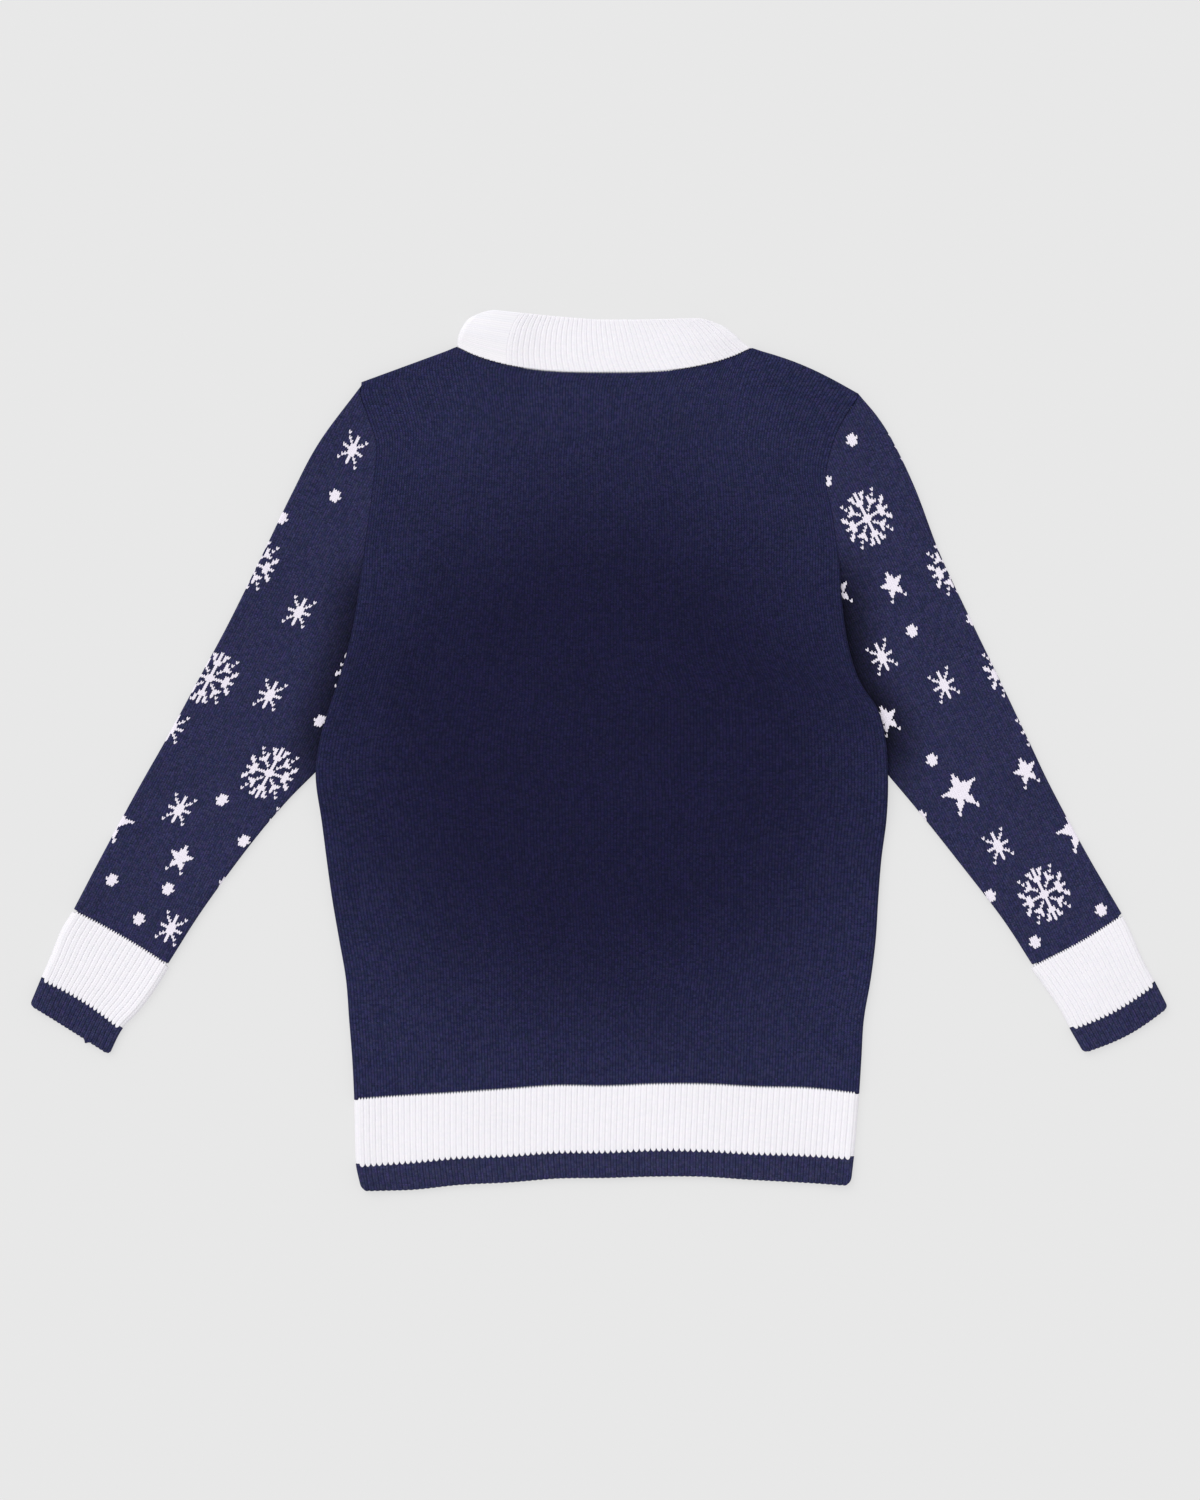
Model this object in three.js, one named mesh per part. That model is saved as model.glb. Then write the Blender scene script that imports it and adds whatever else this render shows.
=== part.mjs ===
// Knitted christmas jumper, laid flat on its front with its back up.
// Millimetres. X runs across the body, Y from the hem to the collar, Z up from the surface it lies on.
// Left and right are those of the person who wears it, so left is at -X.

import * as THREE from 'three';

// Thickness of the knitted walls
const JERSEY_WALL = 2.0;
const RIB_WALL = 2.2;
const NECKBAND_WALL = 2.6;

// Space between sewn pieces, and between layers that lie on each other
const SEAM_GAP = 0.3;
const NECK_GAP = 0.4;
const LAYER_GAP = 0.4;

// Side edge of the body: front and back meet at half height of a round edge
const EDGE_RADIUS = 3.2;
const BACK_SEAM_HEIGHT = EDGE_RADIUS + SEAM_GAP;
const BODY_EDGE_TOP = BACK_SEAM_HEIGHT + EDGE_RADIUS;
const PUFF_WIDTH = 26;
const LEAST_CURL = 0.08;

// Heights of two lying layers
const JERSEY_HEIGHT = 2 * JERSEY_WALL + LAYER_GAP;
const RIB_HEIGHT = 2 * RIB_WALL + LAYER_GAP;
const TUBE_EDGE_TOP = 6.0;

// Raised ribs
const RIB_RELIEF = 0.7;
const HEM_RIBS = 86;
const CUFF_RIBS = 19;
const NECK_RIBS = 50;

// Heights on the side where the body's edge rises over the sleeve and comes down again
const EDGE_SQUARE = 165;
const EDGE_LIFTED = 128;
const OVERLAP_LOW = -30;
const OVERLAP_CLEAR = -75;
const OVERLAP_DEPTH = 42;
const OVERLAP_SLOPE = 40;
const OVERLAP_LIFT = JERSEY_HEIGHT + SEAM_GAP;

// Side heights of the rows of a body panel, above the hem band and below the shoulder's edge
const BODY_ROWS = [
  -220, -160, -112, OVERLAP_CLEAR, OVERLAP_LOW, 20, 72, EDGE_LIFTED, EDGE_SQUARE, 192, 220, 243, 265, 285,
];
const SHOULDER_SHARES = [0.25, 0.5, 0.75];

// The sleeve's armhole end: it follows the body's edge down to a fold, then runs under the body.
// The share of it that follows the edge, and how far along the sleeve it bends the rows
const ARMHOLE_FOLD = 120;
const ARMHOLE_SHARE = 0.866;
const ARMHOLE_BEND = 0.4;

// The back lies over the front half of the neckband
const NECK_RISE = 0.9;
const NECK_RISE_LOW = 225;
const NECK_RISE_FULL = 250;
const NECK_RISE_HALF_WIDTH = 125;
const NECK_RISE_SLOPE = 20;

// Curves of the neck seams
const FRONT_SEAM_POWER = 2.7;
const SHOULDER_BOW = 4;
const NECK_POINT_BLEND = 10;
const NECK_PUFF_BLEND = 22;
const NECK_STEPS = 16;

const NAVY = new THREE.Color('#23244b');
const WHITE = new THREE.Color('#f1eff6');
const QUARTER_TURN = Math.PI / 2;

const { clamp, lerp } = THREE.MathUtils;

// Soft step from 0 where value is at zero to 1 where it is at one.
function ramp(value, zero, one) {
  const share = clamp((value - zero) / (one - zero), 0, 1);
  return share * share * (3 - 2 * share);
}

// Smooth curve through the rows of a table. The first column is the key, the others have names.
function smoothTable(names, rows) {
  const slope = (i, column) => {
    const before = rows[Math.max(i - 1, 0)];
    const after = rows[Math.min(i + 1, rows.length - 1)];
    return (after[column] - before[column]) / (after[0] - before[0]);
  };
  return (key) => {
    let i = 0;
    while (i < rows.length - 2 && key > rows[i + 1][0]) i += 1;
    const span = rows[i + 1][0] - rows[i][0];
    const t = clamp((key - rows[i][0]) / span, 0, 1);
    const found = {};
    names.forEach((name, n) => {
      const column = n + 1;
      const start = rows[i][column];
      const end = rows[i + 1][column];
      const leave = slope(i, column) * span * t * (1 - t) * (1 - t);
      const arrive = slope(i + 1, column) * span * t * t * (1 - t);
      found[name] = lerp(start, end, t * t * (3 - 2 * t)) + leave - arrive;
    });
    return found;
  };
}

// Side lines of the body, from the hem to the shoulder tips
const bodySides = smoothTable(['left', 'right'], [
  [-353, -190.5, 200.5],
  [-332, -193.6, 202.5],
  [-279, -196, 208],
  [-248, -197.5, 210],
  [-216, -200, 212],
  [-184, -202.5, 217.5],
  [-152, -208, 221.5],
  [-120, -213.5, 223.5],
  [-88, -218, 226],
  [-56, -222, 230],
  [-20, -226.5, 231],
  [8, -223, 229],
  [32, -216, 223],
  [53, -209, 209],
  [76, -202, 201],
  [96, -197, 197],
  [120, -193, 194],
  [145, -189.5, 192.5],
  [165, -187, 190],
  [186, -184, 187],
  [217, -180, 181.5],
  [243, -178, 186.5],
  [264, -184, 195.5],
  [285, -191, 209],
  [294, -189, 212],
]);

// Lines across the body, by fraction of its width: hem edge, start of the tipping, top of the hem band
const hemLines = smoothTable(['edge', 'tipping', 'top'], [
  [0, -353, -332.7, -279.2],
  [0.1, -352.2, -330.2, -276.6],
  [0.2, -348.2, -326.5, -274.2],
  [0.3, -346.3, -324.8, -271.4],
  [0.4, -343.2, -322, -268.7],
  [0.5, -342.7, -321.8, -269.1],
  [0.6, -341.6, -320.2, -267.5],
  [0.7, -341.7, -320.8, -267.6],
  [0.8, -344.2, -323, -269.7],
  [0.9, -346.3, -324.3, -270.6],
  [1, -348.7, -326.8, -274.4],
]);

// Neckband from its seam (0) to its upper edge (1): the two side folds, the height of the stack
// at the folds and in the middle, and how far the back and the front half sag below the folds
const neckSections = smoothTable(
  ['leftX', 'leftY', 'rightX', 'rightY', 'sideTop', 'middleTop', 'backSag', 'backPower', 'frontSag'],
  [
    [0, -113.6, 322, 121.6, 321.2, BODY_EDGE_TOP, 5.3, 20, 2.8, 77],
    [0.25, -113, 329, 115, 326, 8, 4.8, 16, 2.3, 73],
    [0.5, -110.4, 336, 109, 331.6, 9, 4.4, 12, 1.9, 69.5],
    [0.75, -105, 344, 101.5, 337.5, 8.8, 4, 8, 1.5, 66],
    [1, -95, 352.5, 90.5, 345, 8, 3.6, 4.5, 1.2, 62],
  ],
);

// Sleeves from the armhole (0) to the cuff (1): outer edge and inner edge of each section
const sleeveLeft = smoothTable(['outX', 'outY', 'inX', 'inY', 'bow'], [
  [0, -190.4, 291.6, -159.2, 94, 0],
  [0.11, -223.2, 246, -160.8, 87.6, 0],
  [0.22, -245.6, 203.6, -164, 79.6, 0],
  [0.33, -269.6, 155.6, -169.6, 66.8, 0],
  [0.44, -296, 102, -186.4, 37.2, 0],
  [0.55, -320.8, 55.6, -215.2, -5.2, 0],
  [0.67, -347.2, 6.8, -249.6, -41.2, 0],
  [0.78, -367.2, -28.4, -279.2, -76.4, 0],
  [0.89, -396.8, -82.8, -316.8, -127.6, -1],
  [1, -420.8, -128.9, -344.4, -170.8, -2],
]);
const sleeveRight = smoothTable(['outX', 'outY', 'inX', 'inY', 'bow'], [
  [0, 211.2, 285.2, 162.4, 94, 0],
  [0.11, 235.6, 246.8, 164, 87.6, 0],
  [0.22, 254.4, 208.4, 167.2, 79.6, 0],
  [0.33, 273.6, 155.6, 172.8, 66.8, 0],
  [0.44, 298.4, 102, 189.6, 37.2, 0],
  [0.55, 320.8, 55.6, 219.2, -5.2, 0],
  [0.67, 344, 6.8, 253.6, -46.8, 0],
  [0.78, 361.6, -30, 284.8, -86, 0],
  [0.89, 390, -82.8, 322.4, -134.8, 0],
  [1, 418.7, -132, 346.4, -172.9, 0],
]);

// Cuffs from the sleeve (0) over the start of the tipping (1) to the edge, with the outward bow of each line
const CUFF_EDGE = 1.36;
const cuffLeft = smoothTable(['outX', 'outY', 'inX', 'inY', 'bow'], [
  [0, -420.8, -128.9, -344.4, -170.8, -2],
  [0.3, -430.4, -144.4, -355.2, -189.2, -1],
  [0.66, -438.4, -164.4, -368.8, -208.4, -1],
  [1, -446.1, -184, -382.4, -224.4, -1.5],
  [CUFF_EDGE, -454.4, -203.6, -392.4, -242.8, 0],
]);
const cuffRight = smoothTable(['outX', 'outY', 'inX', 'inY', 'bow'], [
  [0, 418.7, -132, 346.4, -172.9, 0],
  [0.3, 425.6, -146, 358.4, -189.2, 1],
  [0.66, 435.2, -168.4, 370.4, -208.4, 3],
  [1, 445.1, -187.8, 377.4, -222.8, 4],
  [CUFF_EDGE, 454.6, -206.8, 388.4, -241.2, 5],
]);
const CUFF_LENGTH = 58;
const SLEEVE_LENGTH = 470;

// Closed wall over a grid of columns and rows. pointAt(column, row, depth) gives a point of the
// outer face at depth 0 and of the inner face at the wall's thickness. A ring closes across.
function wallGeometry({ columns, rows, wall, pointAt, ring }) {
  const across = columns.length;
  const layer = across * rows.length;
  const positions = [];
  for (const depth of [0, wall]) {
    for (const row of rows) {
      for (const column of columns) positions.push(...pointAt(column, row, depth));
    }
  }
  const triangles = [];
  const quad = (a, b, c, d) => triangles.push(a, b, c, a, c, d);
  const at = (i, j, face) => face * layer + j * across + (i % across);
  const lastColumn = ring ? across : across - 1;
  const lastRow = rows.length - 1;
  for (let j = 0; j < lastRow; j += 1) {
    for (let i = 0; i < lastColumn; i += 1) {
      quad(at(i, j, 0), at(i + 1, j, 0), at(i + 1, j + 1, 0), at(i, j + 1, 0));
      quad(at(i, j, 1), at(i, j + 1, 1), at(i + 1, j + 1, 1), at(i + 1, j, 1));
    }
  }
  for (let i = 0; i < lastColumn; i += 1) {
    quad(at(i, 0, 0), at(i, 0, 1), at(i + 1, 0, 1), at(i + 1, 0, 0));
    quad(at(i, lastRow, 0), at(i + 1, lastRow, 0), at(i + 1, lastRow, 1), at(i, lastRow, 1));
  }
  if (!ring) {
    for (let j = 0; j < lastRow; j += 1) {
      quad(at(0, j, 0), at(0, j + 1, 0), at(0, j + 1, 1), at(0, j, 1));
      quad(at(lastColumn, j, 0), at(lastColumn, j, 1), at(lastColumn, j + 1, 1), at(lastColumn, j + 1, 0));
    }
  }
  if (signedVolume(positions, triangles) < 0) triangles.reverse();
  const geometry = new THREE.BufferGeometry();
  geometry.setAttribute('position', new THREE.Float32BufferAttribute(positions, 3));
  geometry.setIndex(triangles);
  geometry.computeVertexNormals();
  return geometry;
}

// Volume inside the triangles, positive when they face out
function signedVolume(positions, triangles) {
  const corner = (index) => new THREE.Vector3().fromArray(positions, 3 * index);
  let sum = 0;
  for (let i = 0; i < triangles.length; i += 3) {
    sum += corner(triangles[i]).dot(corner(triangles[i + 1]).cross(corner(triangles[i + 2])));
  }
  return sum / 6;
}

// Fractions from 0 to 1 in equal steps
function steps(count) {
  return Array.from({ length: count + 1 }, (_, i) => i / count);
}

// Line of a neck seam or neckband edge: it sags between its two ends, steep near them
function sagLine(fraction, startY, endY, sag, power) {
  const fromMiddle = Math.abs(2 * fraction - 1);
  return lerp(startY, endY, fraction) - sag * (1 - fromMiddle ** power);
}

// The body's round side edge fades out along the armholes, where the edge is cut square for its seam
function sideCurl(y) {
  return Math.max(LEAST_CURL, ramp(y, EDGE_SQUARE, EDGE_LIFTED));
}

// How far the panels rise where they lie over the upper inner part of a sleeve, from the height
// on the side and the distance in from the side
function liftOverSleeve(sideHeight, inward) {
  const above = ramp(sideHeight, EDGE_SQUARE, EDGE_LIFTED);
  const below = ramp(sideHeight, OVERLAP_CLEAR, OVERLAP_LOW);
  return OVERLAP_LIFT * above * below * ramp(inward, OVERLAP_DEPTH + OVERLAP_SLOPE, OVERLAP_DEPTH);
}

// Extra height of the back where the front half of the neckband lies under it
function riseOverNeckband(x, y) {
  const neck = neckSections(0);
  const fromMiddle = Math.abs(x - (neck.leftX + neck.rightX) / 2);
  const across = ramp(fromMiddle, NECK_RISE_HALF_WIDTH, NECK_RISE_HALF_WIDTH - NECK_RISE_SLOPE);
  return NECK_RISE * across * ramp(y, NECK_RISE_LOW, NECK_RISE_FULL);
}

// Shoulder tips and neck points, where the upper edge of the body changes.
// The sides stay upright from where the shoulder's edge starts to curl.
const TIP_HEIGHTS = { left: 294, right: 285 };
const CURL_START = { left: TIP_HEIGHTS.left - EDGE_RADIUS, right: TIP_HEIGHTS.right - EDGE_RADIUS };
const leftSide = (y) => bodySides(Math.min(y, CURL_START.left)).left;
const rightSide = (y) => bodySides(Math.min(y, CURL_START.right)).right;
const LEFT_TIP = { x: leftSide(TIP_HEIGHTS.left), y: TIP_HEIGHTS.left };
const RIGHT_TIP = { x: rightSide(TIP_HEIGHTS.right), y: TIP_HEIGHTS.right };
const NECK_SEAM = neckSections(0);

// Upper edge of a body panel at x: shoulders outside the neck points, the neck seam between them
function upperEdge(x, sag, power) {
  const { leftX, leftY, rightX, rightY } = NECK_SEAM;
  if (x <= leftX) return lerp(LEFT_TIP.y, leftY, (x - LEFT_TIP.x) / (leftX - LEFT_TIP.x));
  if (x >= rightX) {
    const share = (x - rightX) / (RIGHT_TIP.x - rightX);
    return lerp(rightY, RIGHT_TIP.y, share) + SHOULDER_BOW * Math.sin(Math.PI * share);
  }
  return sagLine((x - leftX) / (rightX - leftX), leftY, rightY, sag, power) - NECK_GAP;
}

// x of a fraction of the upper edge, and the fraction of an x
const TIP_TUCK = LEAST_CURL * EDGE_RADIUS;
const TIP_SPAN = RIGHT_TIP.x - LEFT_TIP.x - 2 * TIP_TUCK;
const upperX = (u) => LEFT_TIP.x + TIP_TUCK + u * TIP_SPAN;
const upperFraction = (x) => (x - LEFT_TIP.x - TIP_TUCK) / TIP_SPAN;

// Lower edge of a body panel, the share of its height of a row, and that row's height on one side
const bodyLow = (u) => hemLines(u).top + SEAM_GAP / 2;
const rowShare = (leftHeight) => (leftHeight - bodyLow(0)) / (CURL_START.left - bodyLow(0));
const rowHeight = (share, side) => (
  side < 0 ? lerp(bodyLow(0), CURL_START.left, share) : lerp(bodyLow(1), CURL_START.right, share)
);

// Columns of a panel: u is the fraction across, turn the angle round the side edge, a quarter when past it
function panelColumns(fractions, ridgeAt = () => 0) {
  const turns = [0, QUARTER_TURN / 2];
  return [
    ...turns.map((turn) => ({ u: 0, turn, ridge: 0 })),
    ...fractions.map((u, i) => ({ u, turn: QUARTER_TURN, ridge: ridgeAt(i) })),
    ...turns.reverse().map((turn) => ({ u: 1, turn, ridge: 0 })),
  ];
}

// Columns of a body panel, with the same places along the neck seam as the neckband's flat part
function bodyColumns() {
  const { leftX, rightX, sideTop } = NECK_SEAM;
  const fold = sideTop / 2;
  const flat = steps(NECK_STEPS).map((f) => lerp(leftX + fold, rightX - fold, f));
  const shoulder = (tip, neck) => SHOULDER_SHARES.map((f) => lerp(tip, neck, f));
  const places = [
    ...shoulder(LEFT_TIP.x, leftX),
    leftX,
    ...flat,
    rightX,
    ...shoulder(RIGHT_TIP.x, rightX).reverse(),
  ];
  return panelColumns([0, ...places.map(upperFraction), 1]);
}

// Wall of one panel of the lying body, between the lines low(u) and high(u)
function panelGeometry({ isBack, wall, height, low, high, columns, rows, topCurl, topPuff, overSleeve }) {
  const pointAt = ({ u, turn, ridge }, row, depth) => {
    const tuckAt = (angle) => EDGE_RADIUS - (EDGE_RADIUS - depth) * Math.cos(angle);
    const heightAt = (share) => (
      lerp(low(share), high(share), row.v) - row.v * topCurl(share) * tuckAt(row.turn)
    );
    const left = leftSide(heightAt(0));
    const right = rightSide(heightAt(1));
    const sideHeight = lerp(heightAt(0), heightAt(1), u);
    const curl = sideCurl(sideHeight);
    const curlTop = topCurl(u);
    const x = lerp(left, right, u) + curl * tuckAt(turn) * (1 - 2 * u);
    const y = heightAt(u);
    const round = lerp(1, Math.sin(turn), curl) * lerp(1, Math.sin(row.turn), curlTop);
    const fromSide = Math.min(x - left, right - x) - curl * EDGE_RADIUS;
    const fromTop = high(u) - curlTop * EDGE_RADIUS - y;
    const flatSide = 1 - curl * ramp(fromSide, PUFF_WIDTH, 0);
    const flatTop = 1 - topPuff(u) * ramp(fromTop, PUFF_WIDTH, 0);
    const lift = overSleeve ? liftOverSleeve(sideHeight, Math.min(x - left, right - x)) : 0;
    if (!isBack) return [x, y, lift + lerp(EDGE_RADIUS, depth, round)];
    const flatHeight = height + (overSleeve ? riseOverNeckband(x, y) : 0);
    const top = lerp(BODY_EDGE_TOP, flatHeight, flatSide * flatTop);
    const relief = depth === 0 ? RIB_RELIEF * ridge : 0;
    return [x, y, lift + lerp(BACK_SEAM_HEIGHT, top - depth, round) + relief];
  };
  return wallGeometry({ columns, rows, wall, pointAt, ring: false });
}

// Back or front of the body, from the hem band to the shoulders and the neck seam
function bodyPanel({ isBack, sag, power }) {
  const outsideNeck = (x) => Math.max(NECK_SEAM.leftX - x, x - NECK_SEAM.rightX);
  return panelGeometry({
    isBack,
    wall: JERSEY_WALL,
    height: JERSEY_HEIGHT,
    low: bodyLow,
    high: (u) => upperEdge(upperX(u), sag, power),
    columns: bodyColumns(),
    rows: [
      ...[0, ...BODY_ROWS.map(rowShare), 1].map((v) => ({ v, turn: QUARTER_TURN })),
      { v: 1, turn: QUARTER_TURN / 2 },
      { v: 1, turn: 0 },
    ],
    topCurl: (u) => Math.max(LEAST_CURL, ramp(outsideNeck(upperX(u)), 0, NECK_POINT_BLEND)),
    topPuff: (u) => ramp(outsideNeck(upperX(u)), -NECK_PUFF_BLEND, 0),
    overSleeve: true,
  });
}

// One band of the hem, ribbed on the back, plain and flat where it lies on the surface
function hemPanel(isBack, lowLine, highLine, isEdge) {
  const columns = isBack
    ? panelColumns(steps(2 * HEM_RIBS), (i) => i % 2)
    : panelColumns(steps(16));
  return panelGeometry({
    isBack,
    wall: RIB_WALL,
    height: RIB_HEIGHT,
    low: (u) => hemLines(u)[lowLine] + (isEdge ? 0 : SEAM_GAP / 2),
    high: (u) => hemLines(u)[highLine] - SEAM_GAP / 2,
    columns,
    rows: [0, 1].map((v) => ({ v, turn: QUARTER_TURN })),
    topCurl: () => 0,
    topPuff: () => 0,
    overSleeve: false,
  });
}

// Columns round a flat tube, from the fractions across its upper and its lower layer
function tubeColumns(upperFractions, lowerFractions, ridgeAt = () => 0) {
  const turns = [-0.5, 0, 0.5].map((share) => share * QUARTER_TURN);
  const upper = upperFractions.map((f, i) => ({ f, turn: QUARTER_TURN, ridge: ridgeAt(i) }));
  const lower = [...lowerFractions].reverse().map((f) => ({ f, turn: -QUARTER_TURN, ridge: 0 }));
  return [
    ...turns.map((turn) => ({ f: 0, turn, ridge: 0 })),
    ...upper,
    ...turns.map((turn) => ({ f: 1, turn: -turn, ridge: 0 })),
    ...lower,
  ];
}

// Wall of a flat tube. section(row) gives its width, topAt(t) its height and planAt(t, up) its place.
function tubeGeometry({ wall, columns, rows, section }) {
  const pointAt = ({ f, turn, ridge }, row, depth) => {
    const { width, topAt, planAt } = section(row);
    const startRadius = topAt(0) / 2;
    const endRadius = topAt(1) / 2;
    const fromStart = startRadius - (startRadius - depth) * Math.cos(turn);
    const fromEnd = endRadius - (endRadius - depth) * Math.cos(turn);
    const t = lerp(fromStart, width - fromEnd, f) / width;
    const half = topAt(t) / 2;
    const [x, y] = planAt(t, Math.min(1, 1 + Math.sin(turn)));
    const relief = depth === 0 ? RIB_RELIEF * ridge : 0;
    return [x, y, half + (half - depth) * Math.sin(turn) + relief];
  };
  return wallGeometry({ columns, rows, wall, pointAt, ring: true });
}

// Armhole end of a sleeve: along the body's edge, then under it to the underarm
function armholePoint(t, side, table) {
  const { outY, inX, inY } = table(0);
  const follow = Math.min(t / ARMHOLE_SHARE, 1);
  const y = lerp(outY, ARMHOLE_FOLD, follow);
  const x = side < 0 ? leftSide(y) - SEAM_GAP : rightSide(y) + SEAM_GAP;
  const under = Math.max(0, (t - ARMHOLE_SHARE) / (1 - ARMHOLE_SHARE));
  return [lerp(x, inX, under), lerp(y, inY, under)];
}

// Section of a sleeve or cuff at a place along it
function limbSection({ table, along, side, height, innerTop, hasArmhole }) {
  const { outX, outY, inX, inY, bow } = table(along);
  const width = Math.hypot(inX - outX, inY - outY);
  const handward = { x: -side * (inY - outY) / width, y: side * (inX - outX) / width };
  const topAt = (t) => {
    const outer = (TUBE_EDGE_TOP - height) * ramp(t * width, PUFF_WIDTH, 0);
    const inner = (innerTop - height) * ramp((1 - t) * width, PUFF_WIDTH, 0);
    return height + outer + inner;
  };
  const planAt = (t) => {
    const arch = bow * Math.sin(Math.PI * t);
    const x = lerp(outX, inX, t) + arch * handward.x;
    const y = lerp(outY, inY, t) + arch * handward.y;
    if (!hasArmhole) return [x, y];
    const bend = ramp(along, ARMHOLE_BEND, 0);
    const first = table(0);
    const [seamX, seamY] = armholePoint(t, side, table);
    const bendX = bend * (seamX - lerp(first.outX, first.inX, t));
    const bendY = bend * (seamY - lerp(first.outY, first.inY, t));
    return [x + bendX, y + bendY];
  };
  return { width, topAt, planAt };
}

// Fractions across a sleeve that meet the rows of the body along the armhole, then the fold and the rest
function armholeFractions(table, side) {
  const { outX, outY, inX, inY } = table(0);
  const width = Math.hypot(inX - outX, inY - outY);
  const outerFold = TUBE_EDGE_TOP / 2;
  const innerFold = JERSEY_HEIGHT / 2;
  const meeting = BODY_ROWS.filter((y) => y >= EDGE_LIFTED).map((y) => rowHeight(rowShare(y), side));
  const downward = meeting.reverse().map((y) => ARMHOLE_SHARE * (outY - y) / (outY - ARMHOLE_FOLD));
  const places = [...downward, ARMHOLE_SHARE, (1 + ARMHOLE_SHARE) / 2];
  return [0, ...places.map((t) => (t * width - outerFold) / (width - outerFold - innerFold)), 1];
}

// Sleeve: one knitted piece, closed round
function sleeve(table, side) {
  const end = 1 - SEAM_GAP / SLEEVE_LENGTH;
  const fractions = armholeFractions(table, side);
  return tubeGeometry({
    wall: JERSEY_WALL,
    columns: tubeColumns(fractions, fractions),
    rows: steps(12).map((share) => share * end),
    section: (along) => limbSection({
      table,
      along,
      side,
      height: JERSEY_HEIGHT,
      innerTop: lerp(JERSEY_HEIGHT, TUBE_EDGE_TOP, ramp(along, 0.6, 0.9)),
      hasArmhole: true,
    }),
  });
}

// Ribbed cuff or its tipping, between two places along the cuff
function cuffBand(table, side, from, to, rowSteps) {
  const start = from + SEAM_GAP / CUFF_LENGTH;
  return tubeGeometry({
    wall: RIB_WALL,
    columns: tubeColumns(steps(2 * CUFF_RIBS), steps(4), (i) => i % 2),
    rows: steps(rowSteps).map((share) => lerp(start, to, share)),
    section: (along) => limbSection({
      table,
      along,
      side,
      height: RIB_HEIGHT,
      innerTop: TUBE_EDGE_TOP,
      hasArmhole: false,
    }),
  });
}

// Neckband: a ribbed ring pressed flat, its back half above, its front half under the back of the body
function neckband() {
  const section = (rise) => {
    const ring = neckSections(rise);
    const width = ring.rightX - ring.leftX;
    const topAt = (t) => lerp(ring.middleTop, ring.sideTop, ramp(Math.abs(2 * t - 1), 0.35, 0.9));
    const planAt = (t, up) => {
      const back = sagLine(t, ring.leftY, ring.rightY, ring.backSag, ring.backPower);
      const front = sagLine(t, ring.leftY, ring.rightY, ring.frontSag, FRONT_SEAM_POWER);
      return [ring.leftX + t * width, lerp(front, back, up)];
    };
    return { width, topAt, planAt };
  };
  return tubeGeometry({
    wall: NECKBAND_WALL,
    columns: tubeColumns(steps(2 * NECK_RIBS), steps(NECK_STEPS), (i) => i % 2),
    rows: steps(3),
    section,
  });
}

const garment = new THREE.Group();

// Adds one knitted piece under its name
function add(name, geometry, color, roughness) {
  const material = new THREE.MeshStandardMaterial({ color, roughness, metalness: 0 });
  const mesh = new THREE.Mesh(geometry, material);
  mesh.name = name;
  garment.add(mesh);
}

const { backSag, backPower, frontSag } = NECK_SEAM;
add('back_panel', bodyPanel({ isBack: true, sag: backSag, power: backPower }), NAVY, 0.9);
add('front_panel', bodyPanel({ isBack: false, sag: frontSag, power: FRONT_SEAM_POWER }), NAVY, 0.9);
add('sleeve_left', sleeve(sleeveLeft, -1), NAVY, 0.9);
add('sleeve_right', sleeve(sleeveRight, 1), NAVY, 0.9);
add('neckband', neckband(), WHITE, 0.92);
for (const [name, isBack] of [['back', true], ['front', false]]) {
  add(`hem_rib_${name}`, hemPanel(isBack, 'tipping', 'top', false), WHITE, 0.92);
  add(`hem_tip_${name}`, hemPanel(isBack, 'edge', 'tipping', true), NAVY, 0.9);
}
for (const [name, table, side] of [['left', cuffLeft, -1], ['right', cuffRight, 1]]) {
  add(`cuff_${name}`, cuffBand(table, side, 0, 1, 3), WHITE, 0.92);
  add(`cuff_tip_${name}`, cuffBand(table, side, 1, CUFF_EDGE, 1), NAVY, 0.9);
}

export default garment;
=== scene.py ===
"""Looks of a knitted christmas jumper that lies flat on its front, seen from straight above.

X runs across the body, Y from the hem to the collar, Z up from the floor. Left and right are the
wearer's, so left is at -X. The tables and sizes are in millimetres, and a mesh is made in metres.
The surfaces follow the solids' within a few millimetres and add the knit: ribs, scallops, teeth
and stitches.
"""

import logging
import math
from dataclasses import dataclass, field
from enum import Enum
from typing import Any, Callable, Optional, Sequence, Union

import bpy
import numpy as np
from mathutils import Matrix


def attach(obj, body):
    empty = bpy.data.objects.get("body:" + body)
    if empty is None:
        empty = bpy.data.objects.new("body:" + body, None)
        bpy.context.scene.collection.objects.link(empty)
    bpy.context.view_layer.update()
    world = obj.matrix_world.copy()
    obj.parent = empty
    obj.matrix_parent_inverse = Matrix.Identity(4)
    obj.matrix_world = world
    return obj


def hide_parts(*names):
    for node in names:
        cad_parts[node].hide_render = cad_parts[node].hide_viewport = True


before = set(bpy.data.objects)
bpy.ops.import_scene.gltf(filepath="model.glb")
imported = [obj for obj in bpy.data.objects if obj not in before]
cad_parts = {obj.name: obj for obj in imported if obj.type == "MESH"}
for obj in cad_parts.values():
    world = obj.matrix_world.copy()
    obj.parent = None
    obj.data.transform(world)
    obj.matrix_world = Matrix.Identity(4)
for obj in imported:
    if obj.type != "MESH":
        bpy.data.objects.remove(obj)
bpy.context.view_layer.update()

LOG = logging.getLogger("jumper")
STITCH_MAP = "stitches"
# Name of the point attribute that carries the sleeves' painted shade beside the body's edge
PAINTED_SHADE = "hollow"
Number = Union[float, np.ndarray]
Line = Callable[[Number], Number]
Tree = bpy.types.NodeTree
Socket = bpy.types.NodeSocket

MM = 0.001
QUARTER = math.pi / 2

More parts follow.
